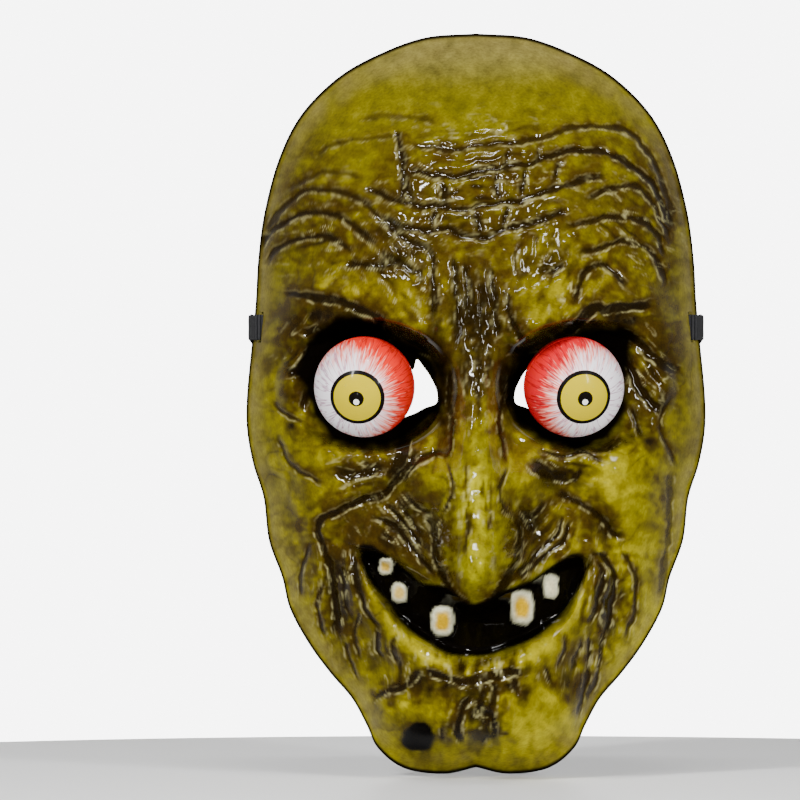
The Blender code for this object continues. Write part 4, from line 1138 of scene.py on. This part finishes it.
def hardware_materials():
    black, tree, shader, _ = mottled(
        "black_plastic", (0.012, 0.012, 0.013), 0.38, 60, 3, (0.009, 0.009, 0.010), (0.020, 0.020, 0.021), 0.0
    )
    add_bump(tree, shader, noise(tree, 700, 3), 0.15, 0.0003)
    wire, *_ = mottled("spring_wire", (0.60, 0.60, 0.58), 0.24, 240, 3, (0.42, 0.42, 0.41), (0.68, 0.68, 0.66))
    tin, tree, shader, brushed = mottled(
        "bracket_sheet", (0.55, 0.56, 0.56), 0.34, 120, 4, (0.40, 0.41, 0.41), (0.62, 0.63, 0.63),
        vector=brushed_place,
    )  # fmt: skip
    add_bump(tree, shader, brushed, 0.12, 0.0002)
    rivet, *_ = mottled("rivet_metal", (0.62, 0.61, 0.58), 0.28, 500, 2, (0.46, 0.45, 0.43), (0.70, 0.69, 0.66))
    return {"black": black, "wire": wire, "tin": tin, "rivet": rivet}


def make_cup(side, finishes):
    near, far = BALL_RADIUS + CUP_CLEARANCE, BALL_RADIUS + CUP_CLEARANCE + CUP_WALL
    foot = math.asin((BOSS_RADIUS + 0.0004) / far)
    top = far + BOSS_LENGTH
    profile = [(0, top), (BOSS_RADIUS - 0.0003, top), (BOSS_RADIUS, top - 0.0003), (BOSS_RADIUS, far + 0.0002)]
    profile += arc(far, foot, CUP_ANGLE - 0.012, 14)
    middle = (near + far) / 2
    profile.append((middle * math.sin(CUP_ANGLE), middle * math.cos(CUP_ANGLE)))
    profile += arc(near, CUP_ANGLE - 0.012, 0, 14)
    profile[-1] = (0, near)
    frame = facing((EYE_X[side], EYE_Y, EYE_Z), (0, 1, 0))
    cup = turned(f"{side}_eye_cup", profile, finishes["black"], frame, 64)
    sharpen(cup)
    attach(cup, f"{side}_cup")
    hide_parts(f"{side}_spring_cup")


def make_seat(side, finishes):
    top = SEAT_FLANGE + BOSS_LENGTH
    profile = [(0, top), (BOSS_RADIUS - 0.0003, top), (BOSS_RADIUS, top - 0.0003), (BOSS_RADIUS, SEAT_FLANGE),
               (SEAT_RADIUS - 0.0002, SEAT_FLANGE), (SEAT_RADIUS, SEAT_FLANGE - 0.0002), (SEAT_RADIUS, 0.0001),
               (SEAT_RADIUS - 0.0001, 0), (0, 0)]  # fmt: skip
    frame = facing((EYE_X[side], BRACKET_WEB_Y - GAP, EYE_Z), (0, -1, 0))
    seat = turned(f"{side}_seat_button", profile, finishes["black"], frame, 64)
    sharpen(seat)
    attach(seat, "root")
    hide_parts(f"{side}_spring_seat")


def tube(name, route, radius, finish, around=12):
    """A round wire along the points, with flat ends."""
    route = np.asarray(route, float)
    tangents = np.gradient(route, axis=0)
    tangents /= np.linalg.norm(tangents, axis=1)[:, None]
    side = np.cross(tangents[0], (0.3, 1.0, 0.2))
    angles = [2 * math.pi * i / around for i in range(around)]
    rings = []
    for centre, tangent in zip(route, tangents):
        side = side - tangent * (side @ tangent)
        side /= np.linalg.norm(side)
        other = np.cross(tangent, side)
        rings.append([centre + radius * (math.cos(a) * side + math.sin(a) * other) for a in angles])
    obj = loft(name, rings, finish)
    sharpen(obj, 60)
    return obj


def make_spring(side, finishes):
    rear = BRACKET_WEB_Y - 2 * GAP - SEAT_FLANGE - WIRE_RADIUS
    front = EYE_Y + BALL_RADIUS + CUP_CLEARANCE + CUP_WALL + GAP + WIRE_RADIUS
    share = np.linspace(0, 1, int(COIL_TURNS * 36) + 1)
    turn = 2 * math.pi * COIL_TURNS * share
    x, z = EYE_X[side] + COIL_RADIUS * np.cos(turn), EYE_Z + COIL_RADIUS * np.sin(turn)
    route = np.column_stack([x, rear + (front - rear) * share, z])
    split = int(len(route) * COIL_SPLIT)
    back = tube(f"{side}_coil_rear", route[: split + 1], WIRE_RADIUS, finishes["wire"])
    ahead = tube(f"{side}_coil_front", route[split:], WIRE_RADIUS, finishes["wire"])
    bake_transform(back)
    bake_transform(ahead)
    for piece in (back, ahead):
        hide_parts(f"{side}_spring")


def finish_nodes(finishes):
    """Puts the better materials on the CAD nodes that stay."""
    kinds = {"eye_bracket": "tin", "upper_rivet": "rivet", "lower_rivet": "rivet", "strap_staple": "wire"}
    for side in SIDES:
        for node, kind in kinds.items():
            for slot in bpy.data.objects[f"{side}_{node}"].material_slots:
                slot.link = "OBJECT"
                slot.material = finishes[kind]


# Studio


def make_stage():
    turns = [2 * math.pi * i / 96 for i in range(96)]
    ring = [(FLOOR_RADIUS * math.cos(turn), FLOOR_RADIUS * math.sin(turn), FLOOR_Z) for turn in turns]
    finish, *_ = material("studio_floor", (0.86, 0.86, 0.85), 0.5)
    floor = mesh_object("studio_floor", ring, [tuple(range(len(ring)))], finish, smooth=False)
    floor.visible_glossy = False


def make_lights():
    for name, place, aim, size, watts in LIGHTS:
        data = bpy.data.lights.new(name, "AREA")
        data.shape = "RECTANGLE"
        data.size, data.size_y = size
        data.energy = watts
        light = bpy.data.objects.new(name, data)
        bpy.context.scene.collection.objects.link(light)
        light.matrix_world = facing(place, Vector(place) - Vector(aim))
        light.visible_glossy = name != "front_fill"


def make_world():
    """White where the camera sees it, and nearly dark elsewhere but for a bright patch behind the mask."""
    world = bpy.data.worlds.new("studio")
    bpy.context.scene.world = world
    world.use_nodes = True
    tree = world.node_tree
    split = tree.nodes.new("ShaderNodeSeparateXYZ")
    tree.links.new(tree.nodes.new("ShaderNodeTexCoord").outputs["Generated"], split.inputs[0])
    back = add(times(split.outputs[1], 0.5), 0.5)
    sky = ramp(back, [(0.20, (0.010,) * 3), (0.75, (0.022,) * 3), (0.985, (0.06,) * 3), (0.9965, (1.0,) * 3)])
    seen = tree.nodes.new("ShaderNodeLightPath").outputs["Is Camera Ray"]
    tree.links.new(mix(tree, "MIX", seen, sky, (1.0, 1.0, 1.0)), tree.nodes["Background"].inputs["Color"])
    tree.nodes["Background"].inputs["Strength"].default_value = 7.0


def main():
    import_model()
    make_camera()
    make_strap()
    make_skin()
    finishes = hardware_materials()
    for side in SIDES:
        make_eyeball(side, eyeball_material(side))
        make_cup(side, finishes)
        make_seat(side, finishes)
        make_spring(side, finishes)
    finish_nodes(finishes)
    make_stage()
    make_lights()
    make_world()
    bpy.context.view_layer.update()


main()
